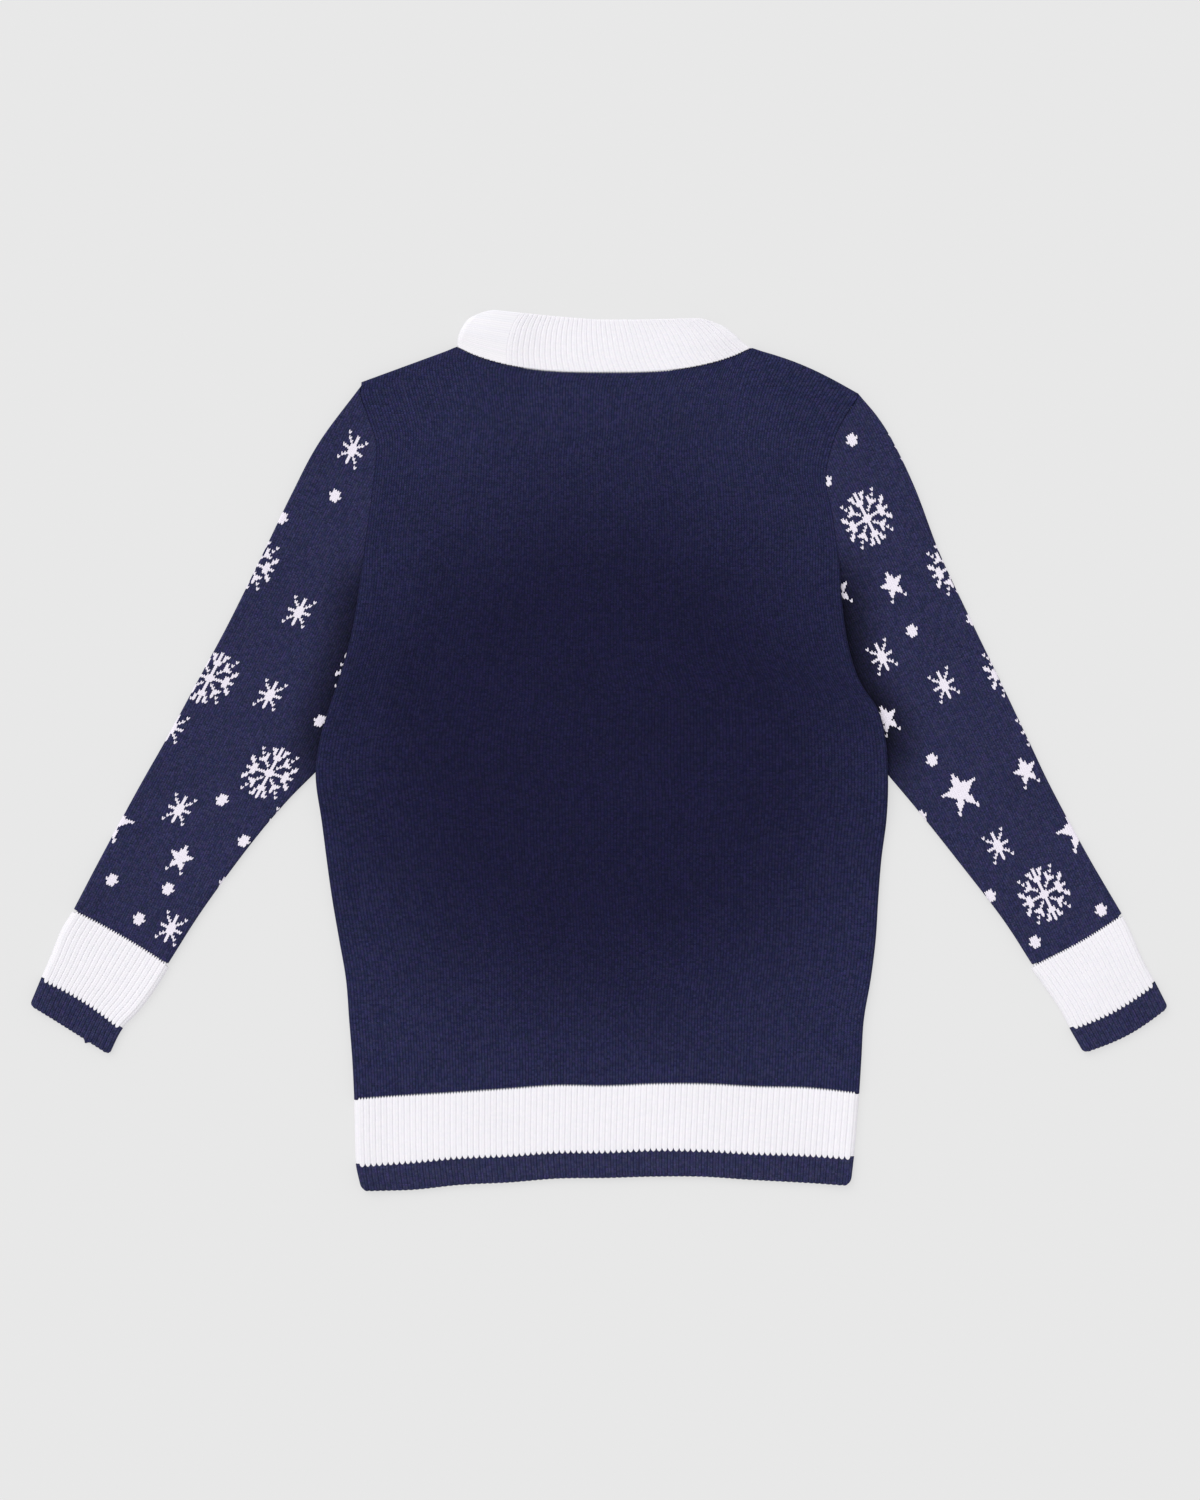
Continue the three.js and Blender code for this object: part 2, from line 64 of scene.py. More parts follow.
# Thickness of the knitted walls, and the space between sewn pieces and between lying layers
JERSEY_WALL = 2.0
RIB_WALL = 2.2
NECKBAND_WALL = 2.6
SEAM_GAP = 0.3
ARMHOLE_GAP = 0.04
NECK_GAP = 0.4
LAYER_GAP = 0.4

# Round side edge of the body, and heights of two lying layers
EDGE_RADIUS = 3.2
BACK_SEAM_HEIGHT = EDGE_RADIUS + SEAM_GAP
BODY_EDGE_TOP = BACK_SEAM_HEIGHT + EDGE_RADIUS
PUFF_WIDTH = 26.0
LEAST_CURL = 0.08
JERSEY_HEIGHT = 2 * JERSEY_WALL + LAYER_GAP
RIB_HEIGHT = 2 * RIB_WALL + LAYER_GAP
TUBE_EDGE_TOP = 6.0

# Ribs: raised height and number across the hem, a cuff and the neckband. A rib is two wales wide
RIB_RELIEF = 0.7
HEM_RIBS = 86
CUFF_RIBS = 19
NECK_RIBS = 50
WALES_A_RIB = 2
HEM_WALES = WALES_A_RIB * HEM_RIBS
CUFF_WALES = WALES_A_RIB * CUFF_RIBS

# Size of a stitch: width of a wale on the body and, knitted tighter, on the sleeves; a course
WALE = 2.28
SLEEVE_WALE = 2.0
COURSE = 1.8

# Where two yarn colours meet: teeth above a band, scallops below it. Powers that round the lobes
# of a scallop and of a rib, the columns over one rib, and the bumps of the hem and the neck seam
TOOTH_HEIGHT = 2.1
SCALLOP_HEIGHT = 3.0
SCALLOP_ROUNDNESS = 0.8
RIDGE_SHARPNESS = 0.3
RIB_COLUMNS = (0, 0.06, 0.14, 0.25, 0.5, 0.75, 0.86, 0.94)
EDGE_BUMP = 0.5
NECK_BUMP = 1.1

# Radius that softens an edge sewn to the next piece
SEAM_RADIUS = 0.4

# Heights on the side where the body's edge rises over the sleeve and comes down again
EDGE_SQUARE = 165.0
EDGE_LIFTED = 128.0
OVERLAP_LOW = -30.0
OVERLAP_CLEAR = -75.0
OVERLAP_DEPTH = 42.0
OVERLAP_SLOPE = 40.0
OVERLAP_LIFT = JERSEY_HEIGHT + SEAM_GAP

# The sleeve's armhole end follows the body's edge down to a fold, then runs under the body
ARMHOLE_FOLD = 120.0
ARMHOLE_SHARE = 0.866
ARMHOLE_BEND = 0.4

# The back lies over the front half of the neckband
NECK_RISE = 0.9
NECK_RISE_LOW = 225.0
NECK_RISE_FULL = 250.0
NECK_RISE_HALF_WIDTH = 125.0
NECK_RISE_SLOPE = 20.0
FRONT_SEAM_POWER = 2.7
SHOULDER_BOW = 4.0
NECK_POINT_BLEND = 10.0
NECK_PUFF_BLEND = 22.0

# Lengths along a sleeve and a cuff. The tipping ends at CUFF_EDGE, in lengths of the white band
SLEEVE_LENGTH = 470.0
CUFF_LENGTH = 58.0
CUFF_EDGE = 1.36

# Search for a place on a sleeve: its rounds, the step that slopes are taken over, how far past
# the sides and the ends it may look, and how near the found point must be
SEARCH_ROUNDS = 14
SEARCH_STEP = 1e-4
SEARCH_PAST_SIDES = 0.3
SEARCH_PAST_ENDS = 0.02
SEARCH_ERROR = 0.3


def ramp(value: Number, zero: float, one: float) -> Number:
    """Soft step: 0 where value is at zero, 1 where it is at one, s * s * (3 - 2 * s) between.

    Args:
        value: The value or values to test.
        zero: The value at which the step starts.
        one: The value at which the step is full.

    Returns:
        The step, of the same shape as value.
    """
    share = np.clip((value - zero) / (one - zero), 0, 1)
    return share * share * (3 - 2 * share)


def lerp(start: Number, end: Number, share: Number) -> Number:
    """Straight mix from start to end by share."""
    return start + (end - start) * share


def teeth(phase: Number) -> Number:
    """Triangle wave of height 1: 0 at whole phases, 1 at half ones."""
    return 1 - np.abs(2 * (phase - np.floor(phase)) - 1)


def scallops(phase: Number) -> Number:
    """Row of round lobes of height 1, with a narrow notch at each whole phase."""
    return np.abs(np.sin(np.pi * phase)) ** SCALLOP_ROUNDNESS


def ridges(phase: Number) -> Number:
    """Wide ribs of height 1 with a narrow groove at each whole phase: |sin| to a small power."""
    return np.abs(np.sin(np.pi * phase)) ** RIDGE_SHARPNESS


def corner_drop(distance: Number, radius: float) -> Number:
    """How far a round corner cuts in at a distance from the side: r * (1 - sqrt(1 - s * s)).

    Args:
        distance: Distance in from the side.
        radius: The corner's radius.

    Returns:
        The depth of the cut, with s the share of the radius that is left to the side.
    """
    share = np.clip(1 - distance / radius, 0, 1)
    return radius * (1 - np.sqrt(1 - share * share))


def with_first(values: np.ndarray) -> np.ndarray:
    """Columns of a closed tube, with the first one once more at the end."""
    return np.concatenate([values, values[:, :1]], axis=1)


class SmoothTable:
    """Named smooth curves through the rows of a table, whose first column is the key."""

    def __init__(self, names: Sequence[str], rows: Sequence[Sequence[float]]) -> None:
        """Keeps the rows and the slope of each curve at each row.

        Args:
            names: The names of the columns after the key.
            rows: The rows, in order of the key.
        """
        data = np.array(rows, float)
        count = len(data)
        after = np.minimum(np.arange(count) + 1, count - 1)
        before = np.maximum(np.arange(count) - 1, 0)
        slopes = (data[after] - data[before]) / (data[after, :1] - data[before, :1])
        self.keys = data[:, 0]
        self.values = {name: data[:, n + 1] for n, name in enumerate(names)}
        self.slopes = {name: slopes[:, n + 1] for n, name in enumerate(names)}

    def at(self, name: str, key: Number) -> Number:
        """One curve at a key: a cubic between rows by their values and slopes, straight beyond.

        Args:
            name: The column's name.
            key: The key or keys.

        Returns:
            The curve's value at each key.
        """
        keys, values, slopes = self.keys, self.values[name], self.slopes[name]
        key = np.asarray(key, float)
        i = np.clip(np.searchsorted(keys, key) - 1, 0, len(keys) - 2)
        span = keys[i + 1] - keys[i]
        t = np.clip((key - keys[i]) / span, 0, 1)
        leave = slopes[i] * span * t * (1 - t) ** 2
        arrive = slopes[i + 1] * span * t * t * (1 - t)
        inside = lerp(values[i], values[i + 1], t * t * (3 - 2 * t)) + leave - arrive
        below = np.minimum(key - keys[0], 0) * slopes[0]
        above = np.maximum(key - keys[-1], 0) * slopes[-1]
        return inside + below + above


# Side lines of the body, from the hem to the shoulder tips
BODY_SIDES = SmoothTable(["left", "right"], [
    [-353, -191.4, 201.8],
    [-332, -194.6, 203.6],
    [-279, -196, 208],
    [-248, -197.5, 210],
    [-216, -200, 212],
    [-184, -202.5, 217.5],
    [-152, -208, 221.5],
    [-120, -213.5, 223.5],
    [-88, -218, 226],
    [-56, -222, 230],
    [-20, -226.5, 231],
    [8, -223, 229],
    [32, -216, 223],
    [53, -209, 209],
    [76, -202, 201],
    [96, -197, 197],
    [120, -193, 194],
    [145, -189.5, 192.5],
    [165, -187, 190],
    [186, -184, 187],
    [217, -180, 181.5],
    [243, -178, 186.5],
    [264, -184, 195.5],
    [285, -191, 209],
    [294, -189, 212],
])

# Lines across the body, by fraction of its width: hem edge, start of the tipping, top of the band
HEM_LINES = SmoothTable(["edge", "tipping", "top"], [
    [0, -353, -332.7, -279.2],
    [0.1, -352.2, -330.2, -276.6],
    [0.2, -348.2, -326.5, -274.2],
    [0.3, -346.3, -324.8, -271.4],
    [0.4, -343.2, -322, -268.7],
    [0.5, -342.7, -321.8, -269.1],
    [0.6, -341.6, -320.2, -267.5],
    [0.7, -341.7, -320.8, -267.6],
    [0.8, -344.2, -323, -269.7],
    [0.9, -346.3, -324.3, -270.6],
    [1, -348.7, -326.8, -274.4],
])

# Neckband from its seam (0) to its upper edge (1): the side folds, the stack's height at the folds
# and in the middle, and how far the back and the front half sag below the folds
NECK = SmoothTable(
    ["leftX", "leftY", "rightX", "rightY", "sideTop", "middleTop", "backSag", "backPower", "frontSag"],
    [
        [0, -113.6, 322, 121.6, 321.2, BODY_EDGE_TOP, 5.3, 19.2, 2.9, 77],
        [0.25, -113, 329, 115, 326, 8, 4.8, 16, 2.3, 73],
        [0.5, -110.4, 336, 109, 331.6, 9, 4.4, 12, 1.9, 69.5],
        [0.75, -105, 344, 101.5, 337.5, 8.8, 4, 8, 1.5, 66],
        [1, -95, 352.5, 90.5, 345, 8, 3.6, 4.5, 1.2, 62],
    ],
)

# Sleeves from the armhole (0) to the cuff (1), then cuffs from the sleeve (0) over the start of
# the tipping (1) to the edge: outer edge, inner edge and outward bow of each section
LIMB = ["outX", "outY", "inX", "inY", "bow"]
SLEEVE_LEFT = SmoothTable(LIMB, [
    [0, -190.4, 291.6, -159.2, 94, 0],
    [0.11, -224.2, 246, -160.8, 87.6, 0],
    [0.22, -246.6, 203.6, -164, 79.6, 0],
    [0.33, -269.6, 155.6, -169.6, 66.8, 0],
    [0.44, -296, 102, -186.4, 37.2, 0],
    [0.55, -320.8, 55.6, -215.2, -5.2, 0],
    [0.67, -347.2, 6.8, -249.6, -41.2, 0],
    [0.78, -367.2, -28.4, -279.2, -76.4, 0],
    [0.89, -396.8, -82.8, -316.8, -127.6, -1],
    [1, -420.8, -128.6, -345.4, -172.3, -1.6],
])
SLEEVE_RIGHT = SmoothTable(LIMB, [
    [0, 211.2, 285.2, 162.4, 94, 0],
    [0.055, 227, 266, 163.2, 90.8, 0],
    [0.11, 238.4, 246.8, 164, 87.6, 0],
    [0.22, 255, 208.4, 167.2, 79.6, 0],
    [0.33, 273.6, 155.6, 172.8, 66.8, 0],
    [0.44, 298.4, 102, 189.6, 37.2, 0],
    [0.55, 320.8, 55.6, 219.2, -5.2, 0],
    [0.67, 344, 6.8, 253.6, -46.8, 0],
    [0.78, 361.6, -30, 284.8, -86, 0],
    [0.89, 390, -82.8, 322.4, -134.8, 1],
    [1, 418.9, -132.3, 347.2, -172.9, 2.3],
])
CUFF_LEFT = SmoothTable(LIMB, [
    [0, -420.8, -128.6, -343.5, -173.4, -1.6],
    [0.3, -430.4, -144.4, -354, -190.5, -2],
    [0.66, -438.4, -164.2, -367.8, -209.1, -2.6],
    [1, -446.7, -183.4, -381.8, -224.2, -3.2],
    [CUFF_EDGE, -455.4, -204.2, -391.8, -244.1, 0],
])
CUFF_RIGHT = SmoothTable(LIMB, [
    [0, 418.9, -132.3, 344.9, -174.2, 2.3],
    [0.3, 425.6, -146, 356.8, -190.3, 2.6],
    [0.66, 435.2, -168, 369.6, -209.3, 3.2],
    [1, 445.4, -186.6, 377, -223.8, 4],
    [CUFF_EDGE, 455.3, -206, 387.8, -242.6, 4.4],
])

# Shoulder tips. The sides stay upright from where the shoulder's edge starts to curl
TIP_LEFT_Y = 294.0
TIP_RIGHT_Y = 285.0
CURL_START_LEFT = TIP_LEFT_Y - EDGE_RADIUS
CURL_START_RIGHT = TIP_RIGHT_Y - EDGE_RADIUS


def left_side(y: Number) -> Number:
    """x of the body's left side line at y."""
    return BODY_SIDES.at("left", np.minimum(y, CURL_START_LEFT))


def right_side(y: Number) -> Number:
    """x of the body's right side line at y."""
    return BODY_SIDES.at("right", np.minimum(y, CURL_START_RIGHT))


TIP_LEFT_X = float(left_side(TIP_LEFT_Y))
TIP_RIGHT_X = float(right_side(TIP_RIGHT_Y))
TIP_TUCK = LEAST_CURL * EDGE_RADIUS
TIP_SPAN = TIP_RIGHT_X - TIP_LEFT_X - 2 * TIP_TUCK
NECK_LEFT_X, NECK_LEFT_Y, NECK_RIGHT_X, NECK_RIGHT_Y = (
    float(NECK.at(name, 0)) for name in ("leftX", "leftY", "rightX", "rightY")
)


def sag_line(share: Number, start: Number, end: Number, sag: Number, power: Number) -> Number:
    """Line that sags between its ends: straight mix less sag * (1 - |2 share - 1| ** power).

    Args:
        share: Fraction of the way from start to end.
        start: Height at the start.
        end: Height at the end.
        sag: How far the middle hangs below the straight line.
        power: How steep the ends are.

    Returns:
        The height at each share.
    """
    return lerp(start, end, share) - sag * (1 - np.abs(2 * share - 1) ** power)


def outside_neck(u: Number) -> Number:
    """Distance in x outside the neck points at a fraction of the upper edge, negative inside."""
    x = TIP_LEFT_X + TIP_TUCK + u * TIP_SPAN
    return np.maximum(NECK_LEFT_X - x, x - NECK_RIGHT_X)


def upper_edge(u: Number, sag: float, power: float) -> Number:
    """Upper edge of a body panel: two shoulders, and the neck seam between them.

    Args:
        u: Fraction across from tip to tip.
        sag: How far the neck seam sags.
        power: How steep it is near the neck points.

    Returns:
        y of the edge.
    """
    x = TIP_LEFT_X + TIP_TUCK + u * TIP_SPAN
    left = lerp(TIP_LEFT_Y, NECK_LEFT_Y, (x - TIP_LEFT_X) / (NECK_LEFT_X - TIP_LEFT_X))
    share = (x - NECK_RIGHT_X) / (TIP_RIGHT_X - NECK_RIGHT_X)
    right = lerp(NECK_RIGHT_Y, TIP_RIGHT_Y, share) + SHOULDER_BOW * np.sin(np.pi * share)
    across = np.clip((x - NECK_LEFT_X) / (NECK_RIGHT_X - NECK_LEFT_X), 0, 1)
    seam = sag_line(across, NECK_LEFT_Y, NECK_RIGHT_Y, sag, power) - NECK_GAP
    return np.where(x <= NECK_LEFT_X, left, np.where(x >= NECK_RIGHT_X, right, seam))


def neck_bump(x: Number) -> Number:
    """How far the white band bulges into the navy at the neck seam: one bump a wale."""
    u = (x - TIP_LEFT_X - TIP_TUCK) / TIP_SPAN
    return NECK_BUMP * teeth(HEM_WALES * u) * ramp(outside_neck(u), 0, -NECK_POINT_BLEND)


def side_curl(y: Number) -> Number:
    """Share of the body's round side edge, which fades out along the armholes."""
    return np.maximum(LEAST_CURL, ramp(y, EDGE_SQUARE, EDGE_LIFTED))


def lift_over_sleeve(side_height: Number, inward: Number) -> Number:
    """Rise of a body panel over the inner part of a sleeve.

    Args:
        side_height: Height on the body's side.
        inward: Distance in from the side.

    Returns:
        The rise, the product of a soft step down the side and one inward from it.
    """
    above = ramp(side_height, EDGE_SQUARE, EDGE_LIFTED)
    below = ramp(side_height, OVERLAP_CLEAR, OVERLAP_LOW)
    return OVERLAP_LIFT * above * below * ramp(inward, OVERLAP_DEPTH + OVERLAP_SLOPE, OVERLAP_DEPTH)


def rise_over_neckband(x: Number, y: Number) -> Number:
    """Extra height of the back where the front half of the neckband lies under it.

    Args:
        x: x on the back.
        y: y on the back.

    Returns:
        The rise, the product of a soft step towards the middle and one up the back.
    """
    from_middle = np.abs(x - (NECK_LEFT_X + NECK_RIGHT_X) / 2)
    across = ramp(from_middle, NECK_RISE_HALF_WIDTH, NECK_RISE_HALF_WIDTH - NECK_RISE_SLOPE)
    return NECK_RISE * across * ramp(y, NECK_RISE_LOW, NECK_RISE_FULL)


def hem_tooth_line(u: Number) -> Number:
    """Upper edge of the white band: its line with one tooth a wale."""
    return HEM_LINES.at("top", u) + TOOTH_HEIGHT * (teeth(HEM_WALES * u) - 0.5)


def hem_scallop_line(u: Number) -> Number:
    """Lower edge of the white band: its line with one round scallop a rib, hanging down."""
    return HEM_LINES.at("tipping", u) + SCALLOP_HEIGHT * (0.5 - scallops(HEM_RIBS * u))


def hem_edge_line(u: Number) -> Number:
    """Free edge of the hem, with a slight bump at each rib."""
    return HEM_LINES.at("edge", u) + EDGE_BUMP * (0.5 - scallops(HEM_RIBS * u))


@dataclass
class Edge:
    """Rows that round off the edge of a wall: a free one fully, a sewn one with a small radius."""

    radius: float
    steps: int = 4
    widest: float = 1.35

    def angles(self) -> np.ndarray:
        """Angles of the rows, from the face (0) to just short of the edge's middle."""
        return np.linspace(0, self.widest, self.steps + 1)

    def inset(self) -> np.ndarray:
        """Distance of each row in from the edge: r * (1 - sin)."""
        return self.radius * (1 - np.sin(self.angles()))

    def skin(self) -> np.ndarray:
        """Depth of each row below the wall's face: r * (1 - cos)."""
        return self.radius * (1 - np.cos(self.angles()))


@dataclass
class Shell:
    """Closed wall of cloth: an outer and an inner grid of points, joined at the rims."""

    name: str
    outer: np.ndarray
    inner: np.ndarray
    stitches: np.ndarray
    closed: bool
    # Depth of painted shade at each point of the outer grid, if the piece has one
    hollow: Optional[np.ndarray] = None

    # Faces over one cell of the grids: layer, row and column of each corner
    OUTER = ((0, 0, 0), (0, 0, 1), (0, 1, 1), (0, 1, 0))
    INNER = ((1, 0, 0), (1, 1, 0), (1, 1, 1), (1, 0, 1))
    LOW_RIM = ((0, 0, 0), (1, 0, 0), (1, 0, 1), (0, 0, 1))
    HIGH_RIM = ((0, 0, 0), (0, 0, 1), (1, 0, 1), (1, 0, 0))
    START_RIM = ((0, 0, 0), (0, 1, 0), (1, 1, 0), (1, 0, 0))
    END_RIM = ((0, 0, 0), (1, 0, 0), (1, 1, 0), (0, 1, 0))

    def corners(self) -> np.ndarray:
        """Layer, row and column of each face's four corners.

        Returns:
            Whole numbers of shape (faces, 4, 3). On a closed shell the last column is the
            first one again, counted on.
        """
        rows, columns = self.outer.shape[:2]
        last = columns if self.closed else columns - 1
        along = np.arange(rows - 1)
        across = np.arange(last)
        families = [
            (self.OUTER, along, across),
            (self.INNER, along, across),
            (self.LOW_RIM, np.array([0]), across),
            (self.HIGH_RIM, np.array([rows - 1]), across),
        ]
        if not self.closed:
            families += [
                (self.START_RIM, along, np.array([0])),
                (self.END_RIM, along, np.array([columns - 1])),
            ]
        found = []
        for pattern, j, i in families:
            base = np.stack(np.meshgrid([0], j, i, indexing="ij"), -1).reshape(-1, 1, 3)
            found.append(base + np.array(pattern)[None])
        return np.concatenate(found)

    def build(self) -> bpy.types.Object:
        """Makes the mesh, with faces outward, the stitch map and the depth of its painted shade.

        Returns:
            The object, in metres, at the origin.
        """
        rows, columns = self.outer.shape[:2]
        corners = self.corners()
        layer, row, column = corners[..., 0], corners[..., 1], corners[..., 2]
        faces = (layer * rows + row) * columns + column % columns
        points = np.concatenate([self.outer.reshape(-1, 3), self.inner.reshape(-1, 3)]) * MM
        if signed_volume(points, faces) < 0:
            faces, row, column = faces[:, ::-1], row[:, ::-1], column[:, ::-1]
        made = mesh_object(self.name, points, faces, self.stitches[row, column])
        # Painted shade: its depth at each point of both layers
        if self.hollow is not None:
            depth = made.data.attributes.new(PAINTED_SHADE, "FLOAT", "POINT")
            depth.data.foreach_set("value", np.tile(self.hollow.ravel(), 2).astype(np.float32))
        return made


def signed_volume(points: np.ndarray, faces: np.ndarray) -> float:
    """Volume inside the faces, each cut in two triangles: positive when they face out.

    Args:
        points: Points of shape (count, 3).
        faces: Point numbers of shape (faces, 4).

    Returns:
        The sum of the triangles' corner triple products over 6.
    """
    a, b, c, d = (points[faces[:, n]] for n in range(4))
    first = np.einsum("ij,ij->i", a, np.cross(b, c))
    second = np.einsum("ij,ij->i", a, np.cross(c, d))
    return float((first + second).sum() / 6)


def mesh_object(
    name: str, points: np.ndarray, faces: np.ndarray, stitches: Optional[np.ndarray] = None
) -> bpy.types.Object:
    """Makes a smooth mesh object of four-sided faces.

    Args:
        name: The object's name.
        points: Points in metres, of shape (count, 3).
        faces: Point numbers, of shape (faces, 4).
        stitches: Place of each face corner in wales and courses, of shape (faces, 4, 2).

    Returns:
        The object, linked to the scene.
    """
    mesh = bpy.data.meshes.new(name)
    mesh.vertices.add(len(points))
    mesh.vertices.foreach_set("co", points.astype(np.float32).ravel())
    mesh.loops.add(faces.size)
    mesh.loops.foreach_set("vertex_index", faces.astype(np.int32).ravel())
    mesh.polygons.add(len(faces))
    mesh.polygons.foreach_set("loop_start", np.arange(0, faces.size, 4, dtype=np.int32))
    if stitches is not None:
        layer = mesh.uv_layers.new(name=STITCH_MAP)
        layer.uv.foreach_set("vector", stitches.astype(np.float32).ravel())
    mesh.update(calc_edges=True)
    mesh.shade_smooth()
    made = bpy.data.objects.new(name, mesh)
    bpy.context.scene.collection.objects.link(made)
    return made


@dataclass
class PanelSurface:
    """One layer of the lying body between two lines across it, with a round side edge."""

    is_back: bool
    wall: float
    height: float
    low: Line
    high: Line
    top_curl: Line
    top_puff: Line
    over_sleeve: bool
    relief: Line
    corner: float = 0.0

    def points(self, u: np.ndarray, turn: np.ndarray, rows: "Rows", depth: Number) -> np.ndarray:
        """Points at a depth below the panel's outer face.

        x is a mix of the two side lines plus the tuck of the round edge, r - (r - depth) * cos.
        z is a mix from the edge's middle to the face by the product of the two edges' sines.

        Args:
            u: Fraction across of each column, of shape (1, columns).
            turn: Angle round the side edge of each column.
            rows: The rows' places.
            depth: Depth below the outer face, a number or one for each row.

        Returns:
            Points of shape (rows, columns, 3).
        """
        def tuck(angle: Number) -> Number:
            """Distance in from the outline at an angle round the edge."""
            return EDGE_RADIUS - (EDGE_RADIUS - depth) * np.cos(angle)

        def height_at(share: Number) -> Number:
            """y of each row at a fraction across."""
            straight = lerp(self.low(share), self.high(share), rows.share)
            return straight - rows.share * self.top_curl(share) * tuck(rows.turn) + rows.inset

        left = left_side(height_at(0.0))
        right = right_side(height_at(1.0))
        side_height = lerp(height_at(0.0), height_at(1.0), u)
        curl = side_curl(side_height)
        curl_top = self.top_curl(u)
        x = lerp(left, right, u) + curl * tuck(turn) * (1 - 2 * u)
        y = height_at(u)
        round_off = lerp(1, np.sin(turn), curl) * lerp(1, np.sin(rows.turn), curl_top)
        inward = np.minimum(x - left, right - x)
        from_top = self.high(u) - curl_top * EDGE_RADIUS - y
        flat_side = 1 - curl * ramp(inward - curl * EDGE_RADIUS, PUFF_WIDTH, 0)
        flat_top = 1 - self.top_puff(u) * ramp(from_top, PUFF_WIDTH, 0)
        lift = lift_over_sleeve(side_height, inward) if self.over_sleeve else 0.0
        if self.corner:
            y = y + (1 - rows.share) * corner_drop(inward, self.corner)
        if self.is_back:
            flat = self.height + (rise_over_neckband(x, y) if self.over_sleeve else 0.0)
            top = lerp(BODY_EDGE_TOP, flat, flat_side * flat_top)
            relief = self.relief(u) * np.where(depth < self.wall / 2, np.sin(turn), 0)
            z = lift + lerp(BACK_SEAM_HEIGHT, top - depth, round_off) + relief
        else:
            z = lift + lerp(EDGE_RADIUS, depth, round_off)
        return np.stack(np.broadcast_arrays(x, y, z), -1)


@dataclass
class Rows:
    """Rows of a piece from its lower line (0) to its upper line (1), as columns of numbers."""

    share: np.ndarray
    turn: np.ndarray
    inset: np.ndarray
    skin: np.ndarray

    @staticmethod
    def make(
        count: int, low: Optional[Edge] = None, high: Optional[Edge] = None, curl_steps: int = 0
    ) -> "Rows":
        """Rows with rounded edges or a curled upper edge.

        Args:
            count: Number of steps between the two lines.
            low: Rounding of the lower edge, if it has one.
            high: Rounding of the upper edge, if it has one.
            curl_steps: Steps of the upper edge's curl, if it has one.

        Returns:
            The rows.
        """
        steps = even_steps(count)[1 if low else 0:count if high else count + 1]
        parts = [(steps, QUARTER, 0.0, 0.0)]
        if low:
            parts.insert(0, (0.0, QUARTER, low.inset()[::-1], low.skin()[::-1]))
        if high:
            parts.append((1.0, QUARTER, -high.inset(), high.skin()))
        if curl_steps:
            parts.append((1.0, np.linspace(QUARTER, 0, curl_steps + 1)[1:], 0.0, 0.0))
        columns = np.concatenate([np.stack(np.broadcast_arrays(*part)) for part in parts], axis=1)
        return Rows(*columns[:, :, None])

    def along(self, length: float) -> np.ndarray:
        """Place of each row on a tube of that length, from 0 at its first end to 1."""
        return self.share + self.inset / length


def even_steps(count: int) -> np.ndarray:
    """Fractions from 0 to 1 in equal steps."""
    return np.linspace(0, 1, count + 1)


def rib_steps(ribs: int) -> np.ndarray:
    """Fractions from 0 to 1 in steps that lie close together at the grooves between ribs."""
    columns = np.arange(ribs)[:, None] + np.array(RIB_COLUMNS)[None, :]
    return np.append(columns.ravel(), ribs) / ribs


def panel_columns(across: np.ndarray, turns: int) -> tuple[np.ndarray, np.ndarray]:
    """Columns of a panel: round the left edge, across, and round the right edge.

    Args:
        across: Fractions from 0 to 1 of the columns across.
        turns: Steps round each side edge.

    Returns:
        The fraction across and the angle round the edge, each of shape (1, columns).
    """
    angles = np.linspace(0, QUARTER, turns + 1)[:-1]
    u = np.concatenate([np.zeros(turns), across, np.ones(turns)])
    turn = np.concatenate([angles, np.full(len(across), QUARTER), angles[::-1]])
    return u[None, :], turn[None, :]


def panel_shell(
    name: str, surface: PanelSurface, rows: Rows, across: np.ndarray, turns: int
) -> Shell:
    """Wall of one panel, with its stitch map.

    Args:
        name: The piece's name.
        surface: The panel's surface.
        rows: Its rows.
        across: Fractions from 0 to 1 of the columns across.
        turns: Steps round each side edge.

    Returns:
        The shell.
    """
    u, turn = panel_columns(across, turns)
    outer = surface.points(u, turn, rows, rows.skin)
    inner = surface.points(u, turn, rows, surface.wall - rows.skin)
    around = (QUARTER - turn) * EDGE_RADIUS / WALE * np.where(u < 0.5, -1, 1)
    wale = np.broadcast_to(u * HEM_WALES + around, outer.shape[:2])
    stitches = np.stack([wale, outer[..., 1] / COURSE], -1)
    return Shell(name, outer, inner, stitches, closed=False)


